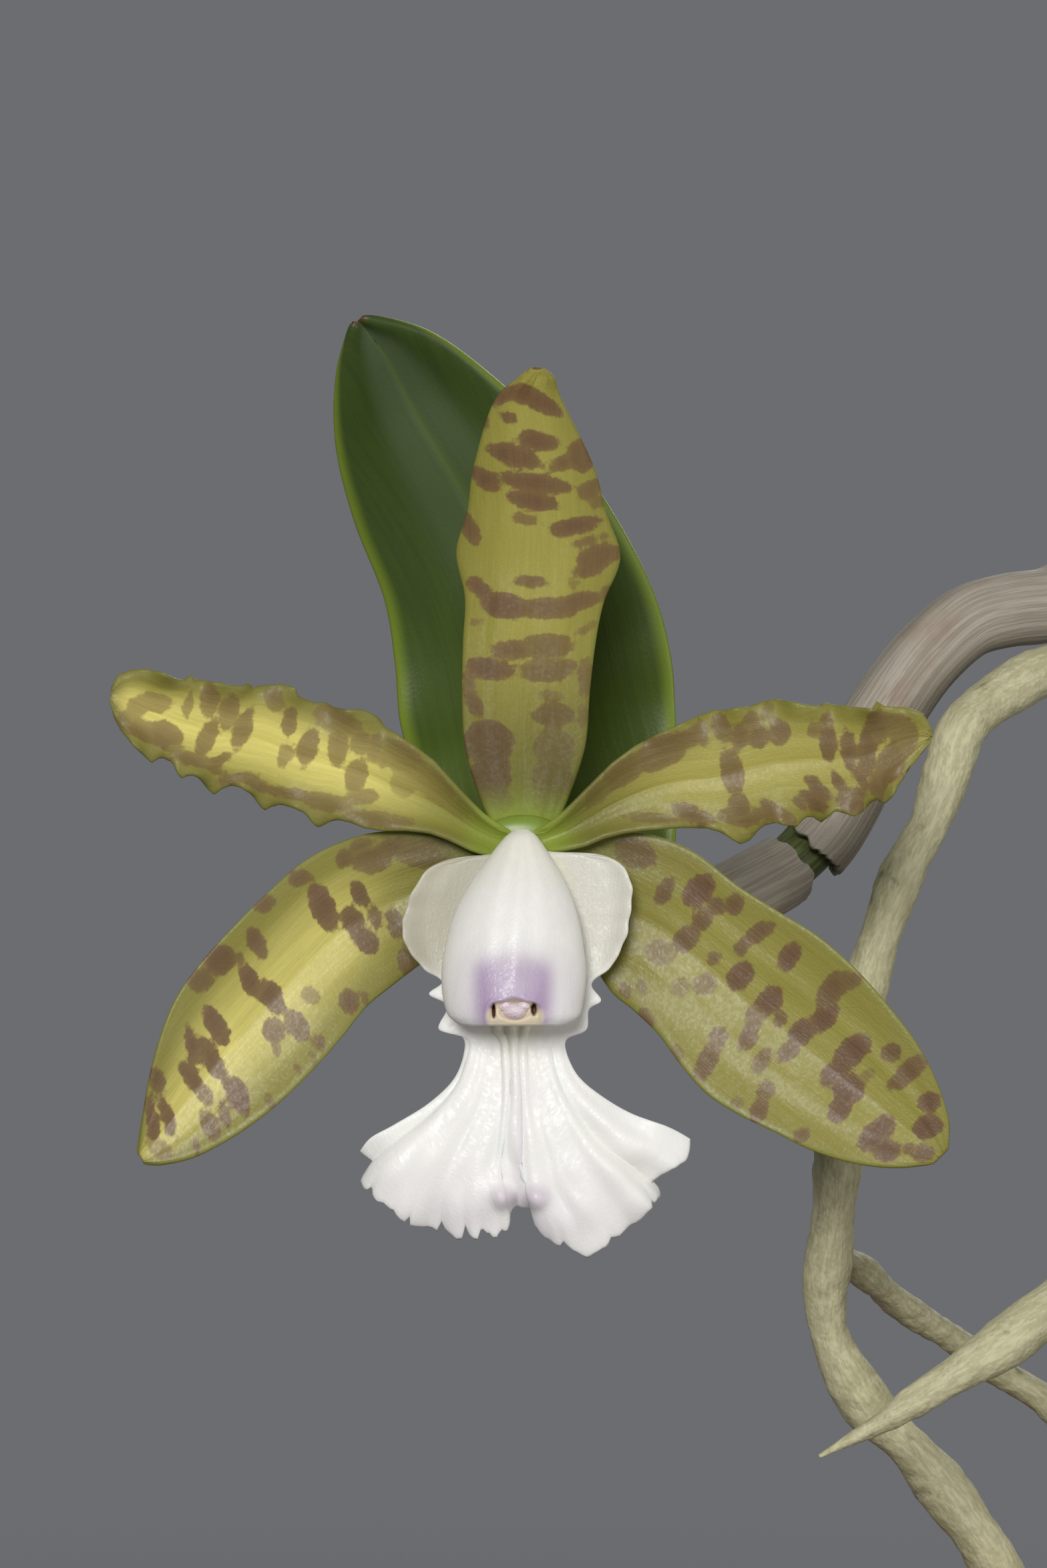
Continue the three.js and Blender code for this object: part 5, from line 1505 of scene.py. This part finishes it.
def stem_material(settings, name, dry):
    """dry: from 0, green and smooth, to 1, brown and lined. Below 0 it is young, pale and glossy."""
    def build(net):
        grain = net.mark("grain", "Vector")
        fibre = net.fibres(grain, 1.6, 0.09)
        worn = net.spread(grain, 6.0, 0.3 + 0.4 * dry, 0.2)
        green = net.mix(fibre, tone(settings, "stem_dark"), tone(settings, "stem_green"))
        brown = net.mix(fibre, colour(84, 66, 46), tone(settings, "dry_stem"))
        share = net.plus(max(dry, 0.0), net.times(worn, 0.35 * (1.0 - dry)))
        base = net.mix(net.times(share, 1.0 if dry >= 0.0 else 0.1), green, brown)
        if dry < 0.0:
            base = net.mix(0.85, base, colour(128, 148, 54))
        return {
            "Base Color": base,
            "Roughness": net.ramp(worn, 0.0, 1.0, 0.45 + 0.25 * dry, 0.6 + 0.25 * dry),
            "Height": net.plus(fibre, net.times(worn, 0.6)),
            "Relief": 0.05 + 0.12 * dry,
        }

    return material(name, build)


def sheath_material(settings):
    def build(net):
        grain = net.mark("grain", "Vector")
        fibre = net.fibres(grain, 2.2, 0.05)
        worn = net.spread(grain, 15.0, 0.42, 0.2)
        base = net.mix(net.ramp(fibre, 0.0, 1.0, 0.35, 0.9), tone(settings, "sheath_dark"),
                       tone(settings, "sheath_pale"))
        base = net.mix(net.times(worn, 0.4), base, colour(136, 100, 82))
        speck = net.spread(grain, 1.3, 0.16, 0.12)
        base = net.mix(net.times(speck, 0.4), base, colour(92, 74, 56))
        return {
            "Base Color": base,
            "Roughness": net.ramp(fibre, 0.0, 1.0, 0.75, 0.5),
            "Height": net.plus(fibre, net.times(speck, -0.3)),
            "Relief": 0.035,
        }

    return material("sheath_papery", build)


def root_material(settings):
    def build(net):
        grain = net.mark("grain", "Vector")
        fibre = net.fibres(grain, 1.8, 0.35)
        green = net.spread(grain, 10.0, 0.5, 0.25)
        dark = net.spread(grain, 4.5, 0.3, 0.18)
        skin = net.use(cells(), Vector=grain, Size=0.7)
        base = net.mix(net.ramp(fibre, 0.0, 1.0, 0.35, 0.8), tone(settings, "root_shade"),
                       tone(settings, "root_pale"))
        base = net.mix(net.times(green, 0.5), base, colour(124, 120, 76))
        base = net.mix(net.times(dark, 0.6), base, colour(76, 68, 50))
        height = net.plus(net.times(skin["Height"], 0.5), net.times(dark, -0.6))
        return {
            "Base Color": base,
            "Roughness": net.ramp(dark, 0.0, 1.0, 0.62, 0.85),
            "Height": height,
            "Relief": 0.1,
        }

    return material("root_velamen", build)


def bark_material(settings):
    def build(net):
        grain = net.mark("grain", "Vector")
        fibre = net.fibres(grain, 0.9, 0.5)
        patch = net.spread(grain, 5.0, 0.5, 0.2)
        base = net.mix(fibre, tone(settings, "bark_dark"), tone(settings, "bark_light"))
        base = net.mix(net.times(patch, 0.4), base, colour(120, 78, 50))
        return {
            "Base Color": base,
            "Roughness": net.ramp(fibre, 0.0, 1.0, 0.95, 0.8),
            "Height": net.plus(fibre, patch),
            "Relief": 0.5,
        }

    return material("bark_coarse", build)


def clay_material(settings):
    def build(net):
        place = net.node("ShaderNodeTexCoord").outputs["Object"]
        grain = net.vector("MULTIPLY", place, (1000.0, 1000.0, 1000.0))
        flat = net.fibres(grain, 0.02, 1.3)
        bloomed = net.spread(grain, 24.0, 0.5, 0.3)
        pores = net.use(cells(), Vector=grain, Size=0.9)
        base = net.mix(flat, tone(settings, "clay"), colour(150, 86, 54))
        base = net.mix(net.times(bloomed, 0.35), base, colour(196, 158, 128))
        speck = net.spread(grain, 1.4, 0.18, 0.1)
        base = net.mix(net.times(speck, 0.5), base, colour(104, 56, 36))
        height = net.plus(net.times(flat, 0.5), net.times(pores["Height"], 0.3))
        return {"Base Color": base, "Roughness": 0.88, "Height": height, "Relief": 0.14}

    return material("clay_fired", build)


def lip_material(settings):
    def build(net):
        grain = net.mark("grain", "Vector")
        zone = net.use(zones(), Place=net.mark("place", "Vector"), Width=0.2)
        fibre = net.fibres(grain, 1.6, 0.3)
        cloud = net.spread(grain, 8.0, 0.5, 0.4)
        skin = net.use(cells(), Vector=grain, Size=0.3)
        flush = net.times(net.mark("lilac"), net.ramp(cloud, 0.0, 1.0, 0.7, 1.0))
        base = net.mix(flush, tone(settings, "lip_white"), tone(settings, "lip_lilac"))
        # Painted shade: the ears are greyed where they stand in shade beside the column, the left one
        # most
        outer = net.ramp(zone["Across"], 1.0, -1.0, 0.6, 0.95)
        ear = net.times(net.ramp(zone["Along"], 0.45, 0.3), outer)
        base = net.mix(ear, base, colour(188, 183, 162))
        throat = net.times(net.ramp(zone["Along"], 0.75, 0.55), net.ramp(zone["Centre"], 0.5, 1.0))
        base = net.mix(net.times(throat, 0.35), base, colour(232, 230, 176))
        return {
            "Base Color": base,
            "Roughness": net.ramp(skin["Sparkle"], 0.0, 1.0, 0.35, 0.6),
            "Height": net.plus(net.times(fibre, 0.6), net.times(skin["Height"], 0.4)),
            "Relief": 0.025,
            "Subsurface Weight": 0.1,
            "Subsurface Scale": 0.001,
        }

    return material("lip_white", build)


def column_material(settings):
    def build(net):
        grain = net.mark("grain", "Vector")
        right, _, up = net.split(grain)
        fibre = net.fibres(grain, 1.0, 0.3)
        skin = net.use(cells(), Vector=grain, Size=0.3)

        def oval(u, v, wide, tall, square=2.0):
            x = net.math("ABSOLUTE", net.math("DIVIDE", net.minus(right, u), wide))
            y = net.math("ABSOLUTE", net.math("DIVIDE", net.minus(up, v), tall))
            both = net.plus(net.math("POWER", x, square), net.math("POWER", y, square))
            return net.math("POWER", both, 1.0 / square)

        patch = net.ramp(oval(-1.4, -18.2, 5.0, 5.6, 3.2), 1.12, 0.62)
        clear = net.ramp(oval(-1.2, -15.2, 3.6, 5.0), 0.3, 1.4, 0.7, 1.0)
        lilac = net.times(net.times(patch, clear), net.ramp(up, -12.4, -16.2))
        base = net.mix(lilac, tone(settings, "lip_white"), tone(settings, "column_lilac"))
        flush = net.ramp(oval(-1.3, -18.0, 9.0, 6.0), 1.2, 0.6)
        base = net.mix(net.times(flush, 0.2), base, tone(settings, "column_lilac"))
        ivory = net.ramp(up, -9.0, 0.0)
        base = net.mix(net.times(ivory, 0.25), base, colour(222, 222, 170))
        mouth = net.ramp(oval(*MOUTH, 2.9, 1.8), 1.25, 1.0)
        base = net.mix(net.times(mouth, 0.85), base, colour(226, 212, 176))
        # Painted shade: each slit is darkened brown inside, where shade falls in it
        for slit_u, slit_v, wide, tall in SLITS:
            dark = net.ramp(oval(slit_u, slit_v, wide, tall), 1.2, 0.7)
            base = net.mix(dark, base, colour(92, 56, 40))
        base = net.mix(net.times(fibre, 0.05), base, colour(170, 160, 140))
        return {
            "Base Color": base,
            "Roughness": net.ramp(skin["Sparkle"], 0.0, 1.0, 0.3, 0.5),
            "Height": net.plus(net.times(fibre, 0.5), net.times(skin["Height"], 0.5)),
            "Relief": 0.02,
            "Subsurface Weight": 0.1,
            "Subsurface Scale": 0.001,
        }

    return material("column_white", build)


def cap_material(settings):
    def build(net):
        grain = net.mark("grain", "Vector")
        cloud = net.spread(grain, 1.4, 0.5, 0.3)
        skin = net.use(cells(), Vector=grain, Size=0.25)
        base = net.mix(net.times(cloud, 0.4), tone(settings, "cap_pink"), colour(232, 220, 208))
        return {
            "Base Color": base,
            "Roughness": 0.4,
            "Height": skin["Height"],
            "Relief": 0.06,
            "Subsurface Weight": 0.1,
            "Subsurface Scale": 0.001,
        }

    return material("cap_waxy", build)


# Settings, operators and panel

def length_setting(name, description, thickness, least):
    """A thickness, given in millimetres. It can be up to ten times the least."""
    return FloatProperty(
        name=name, description=description, default=thickness * MM, min=least * MM,
        max=10.0 * least * MM, unit="LENGTH", subtype="DISTANCE",
    )


def power_setting(name, description, power):
    return FloatProperty(name=name, description=description, default=power, min=0.0, unit="POWER")


def colour_setting(name, description, *levels):
    return FloatVectorProperty(
        name=name, description=description, default=srgb(*levels), min=0.0, max=1.0, size=3,
        subtype="COLOR",
    )


class OrchidSettings(bpy.types.PropertyGroup):
    tepal_thickness: length_setting("Tepal thickness", "Thickness of the sepals and petals", TEPAL, 0.3)
    lip_thickness: length_setting("Lip thickness", "Thickness of the lip", LIP, 0.3)
    leaf_thickness: length_setting("Leaf thickness", "Thickness of the leaves", LEAF, 0.5)
    large_chips: IntProperty(
        name="Large chips", description="Number of coarse bark chips", default=34, min=0, max=60,
    )
    small_chips: IntProperty(
        name="Small chips", description="Number of small bark chips among them",
        default=76, min=0, max=200,
    )
    tepal_ground: colour_setting("Tepal ground", "Yellow-green of the sepals and petals", 144, 137, 58)
    # Partly painted light: the tepals' middles, as if lit through, mix towards this colour
    tepal_pale_glow: colour_setting("Tepal pale", "Palest part of the sepals and petals", 240, 226, 126)
    tepal_green: colour_setting("Tepal green", "Green of the tepals' bases and margins", 122, 128, 50)
    blotch: colour_setting("Blotch", "Outer part of a blotch", 112, 84, 54)
    blotch_heart: colour_setting("Blotch heart", "Middle of a blotch", 94, 60, 50)
    lip_white: colour_setting("Lip white", "White of the lip and column", 240, 238, 232)
    lip_lilac: colour_setting("Lip lilac", "Lilac flush of the lip's fan", 200, 178, 200)
    column_lilac: colour_setting("Column lilac", "Lilac patches of the column", 168, 144, 176)
    cap_pink: colour_setting("Cap pink", "Pink of the anther cap", 226, 208, 214)
    leaf_dark: colour_setting("Leaf dark", "Darkest green of the leaves", 56, 72, 32)
    leaf_light: colour_setting("Leaf light", "Lighter green of the leaves", 90, 110, 24)
    leaf_edge: colour_setting("Leaf edge", "Yellow-green of the leaves' margins", 122, 142, 44)
    # Painted sheen: this greyish tint stands in for light gleaming beside the midribs
    leaf_painted_sheen: colour_setting("Leaf wax", "Greyish bloom beside the leaves' midribs", 98, 112, 84)
    stem_green: colour_setting("Stem green", "Green of the young stems", 106, 116, 58)
    stem_dark: colour_setting("Stem dark", "Darker green of the young stems", 62, 70, 36)
    dry_stem: colour_setting("Dry stem", "Grey brown of the old stems", 134, 114, 84)
    sheath_pale: colour_setting("Sheath pale", "Palest fibres of the dry sheaths", 178, 170, 154)
    sheath_dark: colour_setting("Sheath dark", "Darkest fibres of the dry sheaths", 128, 116, 100)
    root_pale: colour_setting("Root pale", "Whitish skin of the roots", 210, 204, 166)
    root_shade: colour_setting("Root shade", "Olive shade of the roots", 156, 150, 110)
    bark_dark: colour_setting("Bark dark", "Darkest bark", 78, 54, 38)
    bark_light: colour_setting("Bark light", "Lightest bark", 142, 106, 76)
    clay: colour_setting("Clay", "Fired clay of the pot", 176, 104, 68)
    key_power: power_setting("Key light", "Power of the main light", 7.6)
    fill_power: power_setting("Fill light", "Power of the light from the right", 2.6)
    back_power: power_setting("Back light", "Power of the light from behind", 3.2)


class ORCHID_OT_tepals(bpy.types.Operator):
    """Make the three sepals and the two petals"""

    bl_idname = "orchid.tepals"
    bl_label = "Sepals and petals"
    bl_options = {"REGISTER", "UNDO"}

    def execute(self, context):
        settings = context.scene.orchid
        thickness = settings.tepal_thickness / MM
        keels = [(-0.45, 0.14, 0.18), (0.42, 0.16, 0.2)]
        dorsal = ribbed(DORSAL_RIBS, sepal_depth(DORSAL_SPINE, DORSAL_CUP, keels, 31))
        left = ribbed(LATERAL_LEFT_RIBS, sepal_depth(LATERAL_SPINE, LATERAL_CUP, keels, 33))
        right = ribbed(LATERAL_RIGHT_RIBS, sepal_depth(LATERAL_SPINE, LATERAL_CUP, keels, 35))
        petal_left = petal(
            PETAL_LEFT_BASE, PETAL_LEFT_UPPER, PETAL_LEFT_LOWER, petal_depth(0.4, 37),
        )
        petal_right = petal(
            PETAL_RIGHT_BASE, PETAL_RIGHT_UPPER, PETAL_RIGHT_LOWER, petal_depth(2.1, 39),
        )
        made = [
            ("dorsal_sepal", dorsal, DORSAL_BLOTCHES, (0.15, 1.0, 0.1, 0.88, 0.2, 0.5)),
            ("lateral_sepal_left", left, LATERAL_LEFT_BLOTCHES, (0.75, 0.5, 0.7, 0.9, 0.35, 0.25)),
            ("lateral_sepal_right", right, LATERAL_RIGHT_BLOTCHES, (0.05, 0.5, 0.7, 0.9, 0.3, 0.35)),
            ("petal_left", petal_left, PETAL_LEFT_BLOTCHES, (1.0, 0.0, 0.4, 0.7, 0.8, 0.1)),
            ("petal_right", petal_right, PETAL_RIGHT_BLOTCHES, (0.3, 0.0, 0.55, 0.82, 0.5, 0.35)),
        ]
        for seed, (node, surface, spots, look) in enumerate(made):
            marks = partial(blotches, read_blotches(spots))
            shape = blade(surface, thickness, *TEPAL_MESH, FRONT, seed=seed, marks=marks)
            skin = tepal_material(settings, f"tepal_{node}", look)
            put(f"bloom_{node}", shape, skin, [node])
        return {"FINISHED"}


class ORCHID_OT_lip(bpy.types.Operator):
    """Make the lip"""

    bl_idname = "orchid.lip"
    bl_label = "Lip"
    bl_options = {"REGISTER", "UNDO"}

    def execute(self, context):
        settings = context.scene.orchid
        thickness = settings.lip_thickness / MM
        shape = blade(lip_surface, thickness, *LIP_MESH, FRONT, ends=50, marks=lip_washes)
        put("bloom_lip", shape, lip_material(settings), ["lip"])
        return {"FINISHED"}


class ORCHID_OT_column(bpy.types.Operator):
    """Make the column and its anther cap"""

    bl_idname = "orchid.column"
    bl_label = "Column"
    bl_options = {"REGISTER", "UNDO"}

    def execute(self, context):
        settings = context.scene.orchid
        put("bloom_column", column_shape(), column_material(settings), ["column"])
        middle = bloom(*CAP)
        cap = None
        for seed, ((u, v, w), sizes) in enumerate(CAP_LOBES):
            lobe = lump(middle + np.array([u, -w, v]), sizes, *CAP_MESH, seed=seed)
            cap = cap.add(lobe) if cap else lobe
        put("bloom_anther_cap", cap, cap_material(settings), ["anther_cap"])
        return {"FINISHED"}


class ORCHID_OT_leaves(bpy.types.Operator):
    """Make the six leaves"""

    bl_idname = "orchid.leaves"
    bl_label = "Leaves"
    bl_options = {"REGISTER", "UNDO"}

    def execute(self, context):
        settings = context.scene.orchid
        thickness = settings.leaf_thickness / MM
        look = leaf_material(settings)
        first = blade(ribbed(LEAF_RIBS, leaf_depth), thickness, *FIRST_LEAF_MESH, FRONT, 8, 20)
        put("leaf_blade_flowering_first", first, look, ["leaf_flowering_first"])
        for seed, (name, (spine, side, half_width, fold)) in enumerate(LEAVES.items()):
            surface = leaf_surface(spine, side, half_width, fold, 62 + seed)
            shape = blade(surface, thickness, *LEAF_MESH, (-0.2, -0.3, 1.0), 8, 20, seed=seed + 1)
            put(f"leaf_blade_{name}", shape, look, [f"leaf_{name}"])
        return {"FINISHED"}


class ORCHID_OT_stems(bpy.types.Operator):
    """Make the rhizome, the pseudobulbs and the flower's stalk"""

    bl_idname = "orchid.stems"
    bl_label = "Stems"
    bl_options = {"REGISTER", "UNDO"}

    def execute(self, context):
        settings = context.scene.orchid
        green = stem_material(settings, "stem_green", 0.0)
        dry = stem_material(settings, "stem_dry", 1.0)
        put("stem_rhizome", rhizome_shape(), dry, ["rhizome"])
        for name in BULBS:
            look, slot = (dry, "dry_stem") if name == "old" else (green, "green_stem")
            put(f"stem_bulb_{name}", bulb_shape(name), look, [f"pseudobulb_{name}"])
        stalk = tube(
            STALK, *STALK_MESH, lambda t, angle: STALK_RADIUS(t) + 0.07 * np.sin(6.0 * angle) - 0.07,
        )
        # The rim that the tepals grow from
        stalk.add(lump(bloom(-0.2, -0.3, 0.7), (4.4, 1.3, 2.2), *RIM_MESH))
        young = stem_material(settings, "stem_young", -0.4)
        put("stem_flower_stalk", stalk, young, ["flower_stalk"])
        return {"FINISHED"}


class ORCHID_OT_sheaths(bpy.types.Operator):
    """Make the dry sheaths round the pseudobulbs"""

    bl_idname = "orchid.sheaths"
    bl_label = "Sheaths"
    bl_options = {"REGISTER", "UNDO"}

    def execute(self, context):
        settings = context.scene.orchid
        look = sheath_material(settings)
        for seed, name in enumerate(BULBS):
            shape = sheath_shape(name, 91 + 5 * seed)
            put(f"papery_sheath_{name}", shape, look, [f"sheath_{name}"])
        upper = sheath_shape("flowering", 121, 17.3, 20, -0.015)
        put("papery_sheath_upper", upper, look, ["sheath_flowering_upper"])
        return {"FINISHED"}


class ORCHID_OT_roots(bpy.types.Operator):
    """Make the aerial roots"""

    bl_idname = "orchid.roots"
    bl_label = "Roots"
    bl_options = {"REGISTER", "UNDO"}

    def execute(self, context):
        settings = context.scene.orchid
        look = root_material(settings)
        for seed, (name, (route, radius)) in enumerate(ROOTS.items()):
            shape = root_shape(route, radius, 131 + 3 * seed)
            if name == "hanging":
                shape.add(root_shape(BRANCH, BRANCH_RADIUS, 128))
            put(f"aerial_root_{name}", shape, look, [f"root_{name}"])
        return {"FINISHED"}


class ORCHID_OT_pot(bpy.types.Operator):
    """Make the clay pot and the bark that fills it"""

    bl_idname = "orchid.pot"
    bl_label = "Pot and bark"
    bl_options = {"REGISTER", "UNDO"}

    def execute(self, context):
        settings = context.scene.orchid
        pot = put("clay_pot", pot_shape(), clay_material(settings), ["pot"])
        drain_holes(pot)
        bark = bark_shape(settings.large_chips, settings.small_chips)
        put("bark_filling", bark, bark_material(settings), ["bark_mix"])
        return {"FINISHED"}


def add_light(name, place, size, power):
    lamp = bpy.data.lights.new(name, "AREA")
    lamp.shape = "DISK"
    lamp.size = size
    lamp.energy = power
    made = bpy.data.objects.new(name, lamp)
    made.location = place
    aim = Vector(LIGHT_AIM) - Vector(place)
    made.rotation_euler = aim.to_track_quat("-Z", "Y").to_euler()
    bpy.context.scene.collection.objects.link(made)
    made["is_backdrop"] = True


def surroundings(scene):
    """An even pale backdrop, and a floor that fades into it"""
    pale = colour(108, 109, 112)
    world = bpy.data.worlds.new("pale_backdrop")
    world.use_nodes = True
    world.node_tree.nodes["Background"].inputs["Color"].default_value = pale
    scene.world = world
    outline = np.array([(0.0, 0.0), (400.0, 0.0), (2000.0, 0.0), (FLOOR_RADIUS, 0.0)])
    disc = turned_shape(outline, 96)
    mesh = bpy.data.meshes.new("floor")
    mesh.from_pydata((disc.points * MM - [0.0, 0.0, 0.0002]).tolist(), [], disc.faces)
    made = bpy.data.materials.new("floor_pale")
    made.use_nodes = True
    net = Net(made.node_tree)
    shader = made.node_tree.nodes["Principled BSDF"]
    place = net.node("ShaderNodeTexCoord").outputs["Object"]
    far = net.node("ShaderNodeVectorMath", {0: place}, operation="LENGTH").outputs["Value"]
    fade = net.ramp(far, 0.2, 0.95)
    shader.inputs["Roughness"].default_value = 0.8
    shader.inputs["Specular IOR Level"].default_value = 0.1
    shader.inputs["Base Color"].default_value = colour(126, 127, 130)
    glow = net.node("ShaderNodeEmission", {"Color": pale})
    both = net.node("ShaderNodeMixShader", {0: fade, 1: shader.outputs[0], 2: glow.outputs[0]})
    made.node_tree.links.new(both.outputs[0], made.node_tree.nodes["Material Output"].inputs["Surface"])
    mesh.materials.append(made)
    floor = bpy.data.objects.new("floor", mesh)
    scene.collection.objects.link(floor)
    floor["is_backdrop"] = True


class ORCHID_OT_stage(bpy.types.Operator):
    """Make the camera, the lights, the backdrop and the surface that the pot stands on"""

    bl_idname = "orchid.stage"
    bl_label = "Stage"
    bl_options = {"REGISTER", "UNDO"}

    def execute(self, context):
        settings = context.scene.orchid
        scene = context.scene
        scene.view_settings.view_transform = "Standard"
        lens = bpy.data.cameras.new("front_camera")
        lens.sensor_width = SENSOR
        lens.lens = SENSOR / 2.0 * CAMERA_REACH / HALF_PICTURE
        lens.clip_start = 0.01
        lens.dof.use_dof = False
        camera = bpy.data.objects.new("front_camera", lens)
        camera.location = Vector(CAMERA) * MM
        camera.rotation_euler = (math.pi / 2.0, 0.0, 0.0)
        scene.collection.objects.link(camera)
        scene.camera = camera
        camera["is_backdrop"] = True
        for name, (place, size) in LIGHTS.items():
            add_light(f"{name}_light", place, size, getattr(settings, f"{name}_power"))
        surroundings(scene)
        return {"FINISHED"}


OPERATORS = [
    ORCHID_OT_tepals, ORCHID_OT_lip, ORCHID_OT_column, ORCHID_OT_leaves, ORCHID_OT_stems,
    ORCHID_OT_sheaths, ORCHID_OT_roots, ORCHID_OT_pot, ORCHID_OT_stage,
]


class ORCHID_PT_panel(bpy.types.Panel):
    """Lists the orchid's settings and the operators that make it"""

    bl_idname = "ORCHID_PT_panel"
    bl_label = "Potted orchid"
    bl_space_type = "VIEW_3D"
    bl_region_type = "UI"
    bl_category = "Orchid"

    def draw(self, context):
        settings = context.scene.orchid
        for name in settings.bl_rna.properties.keys():
            if name not in {"rna_type", "name"}:
                self.layout.prop(settings, name)
        for operator in OPERATORS:
            self.layout.operator(operator.bl_idname)


CLASSES = [OrchidSettings, *OPERATORS, ORCHID_PT_panel]


def register():
    for kind in CLASSES:
        bpy.utils.register_class(kind)
    bpy.types.Scene.orchid = PointerProperty(type=OrchidSettings)


def unregister():
    del bpy.types.Scene.orchid
    for kind in reversed(CLASSES):
        bpy.utils.unregister_class(kind)


def plain(bounds):
    return json.loads(json.dumps(bounds, default=list))


def main():
    before = plain(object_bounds())
    register()
    for operator in OPERATORS:
        family, name = operator.bl_idname.split(".")
        done = getattr(getattr(bpy.ops, family), name)()
        if done != {"FINISHED"}:
            raise RuntimeError(f"{operator.bl_label} did not finish")
    after = plain(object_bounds())


if __name__ == "__main__":
    main()
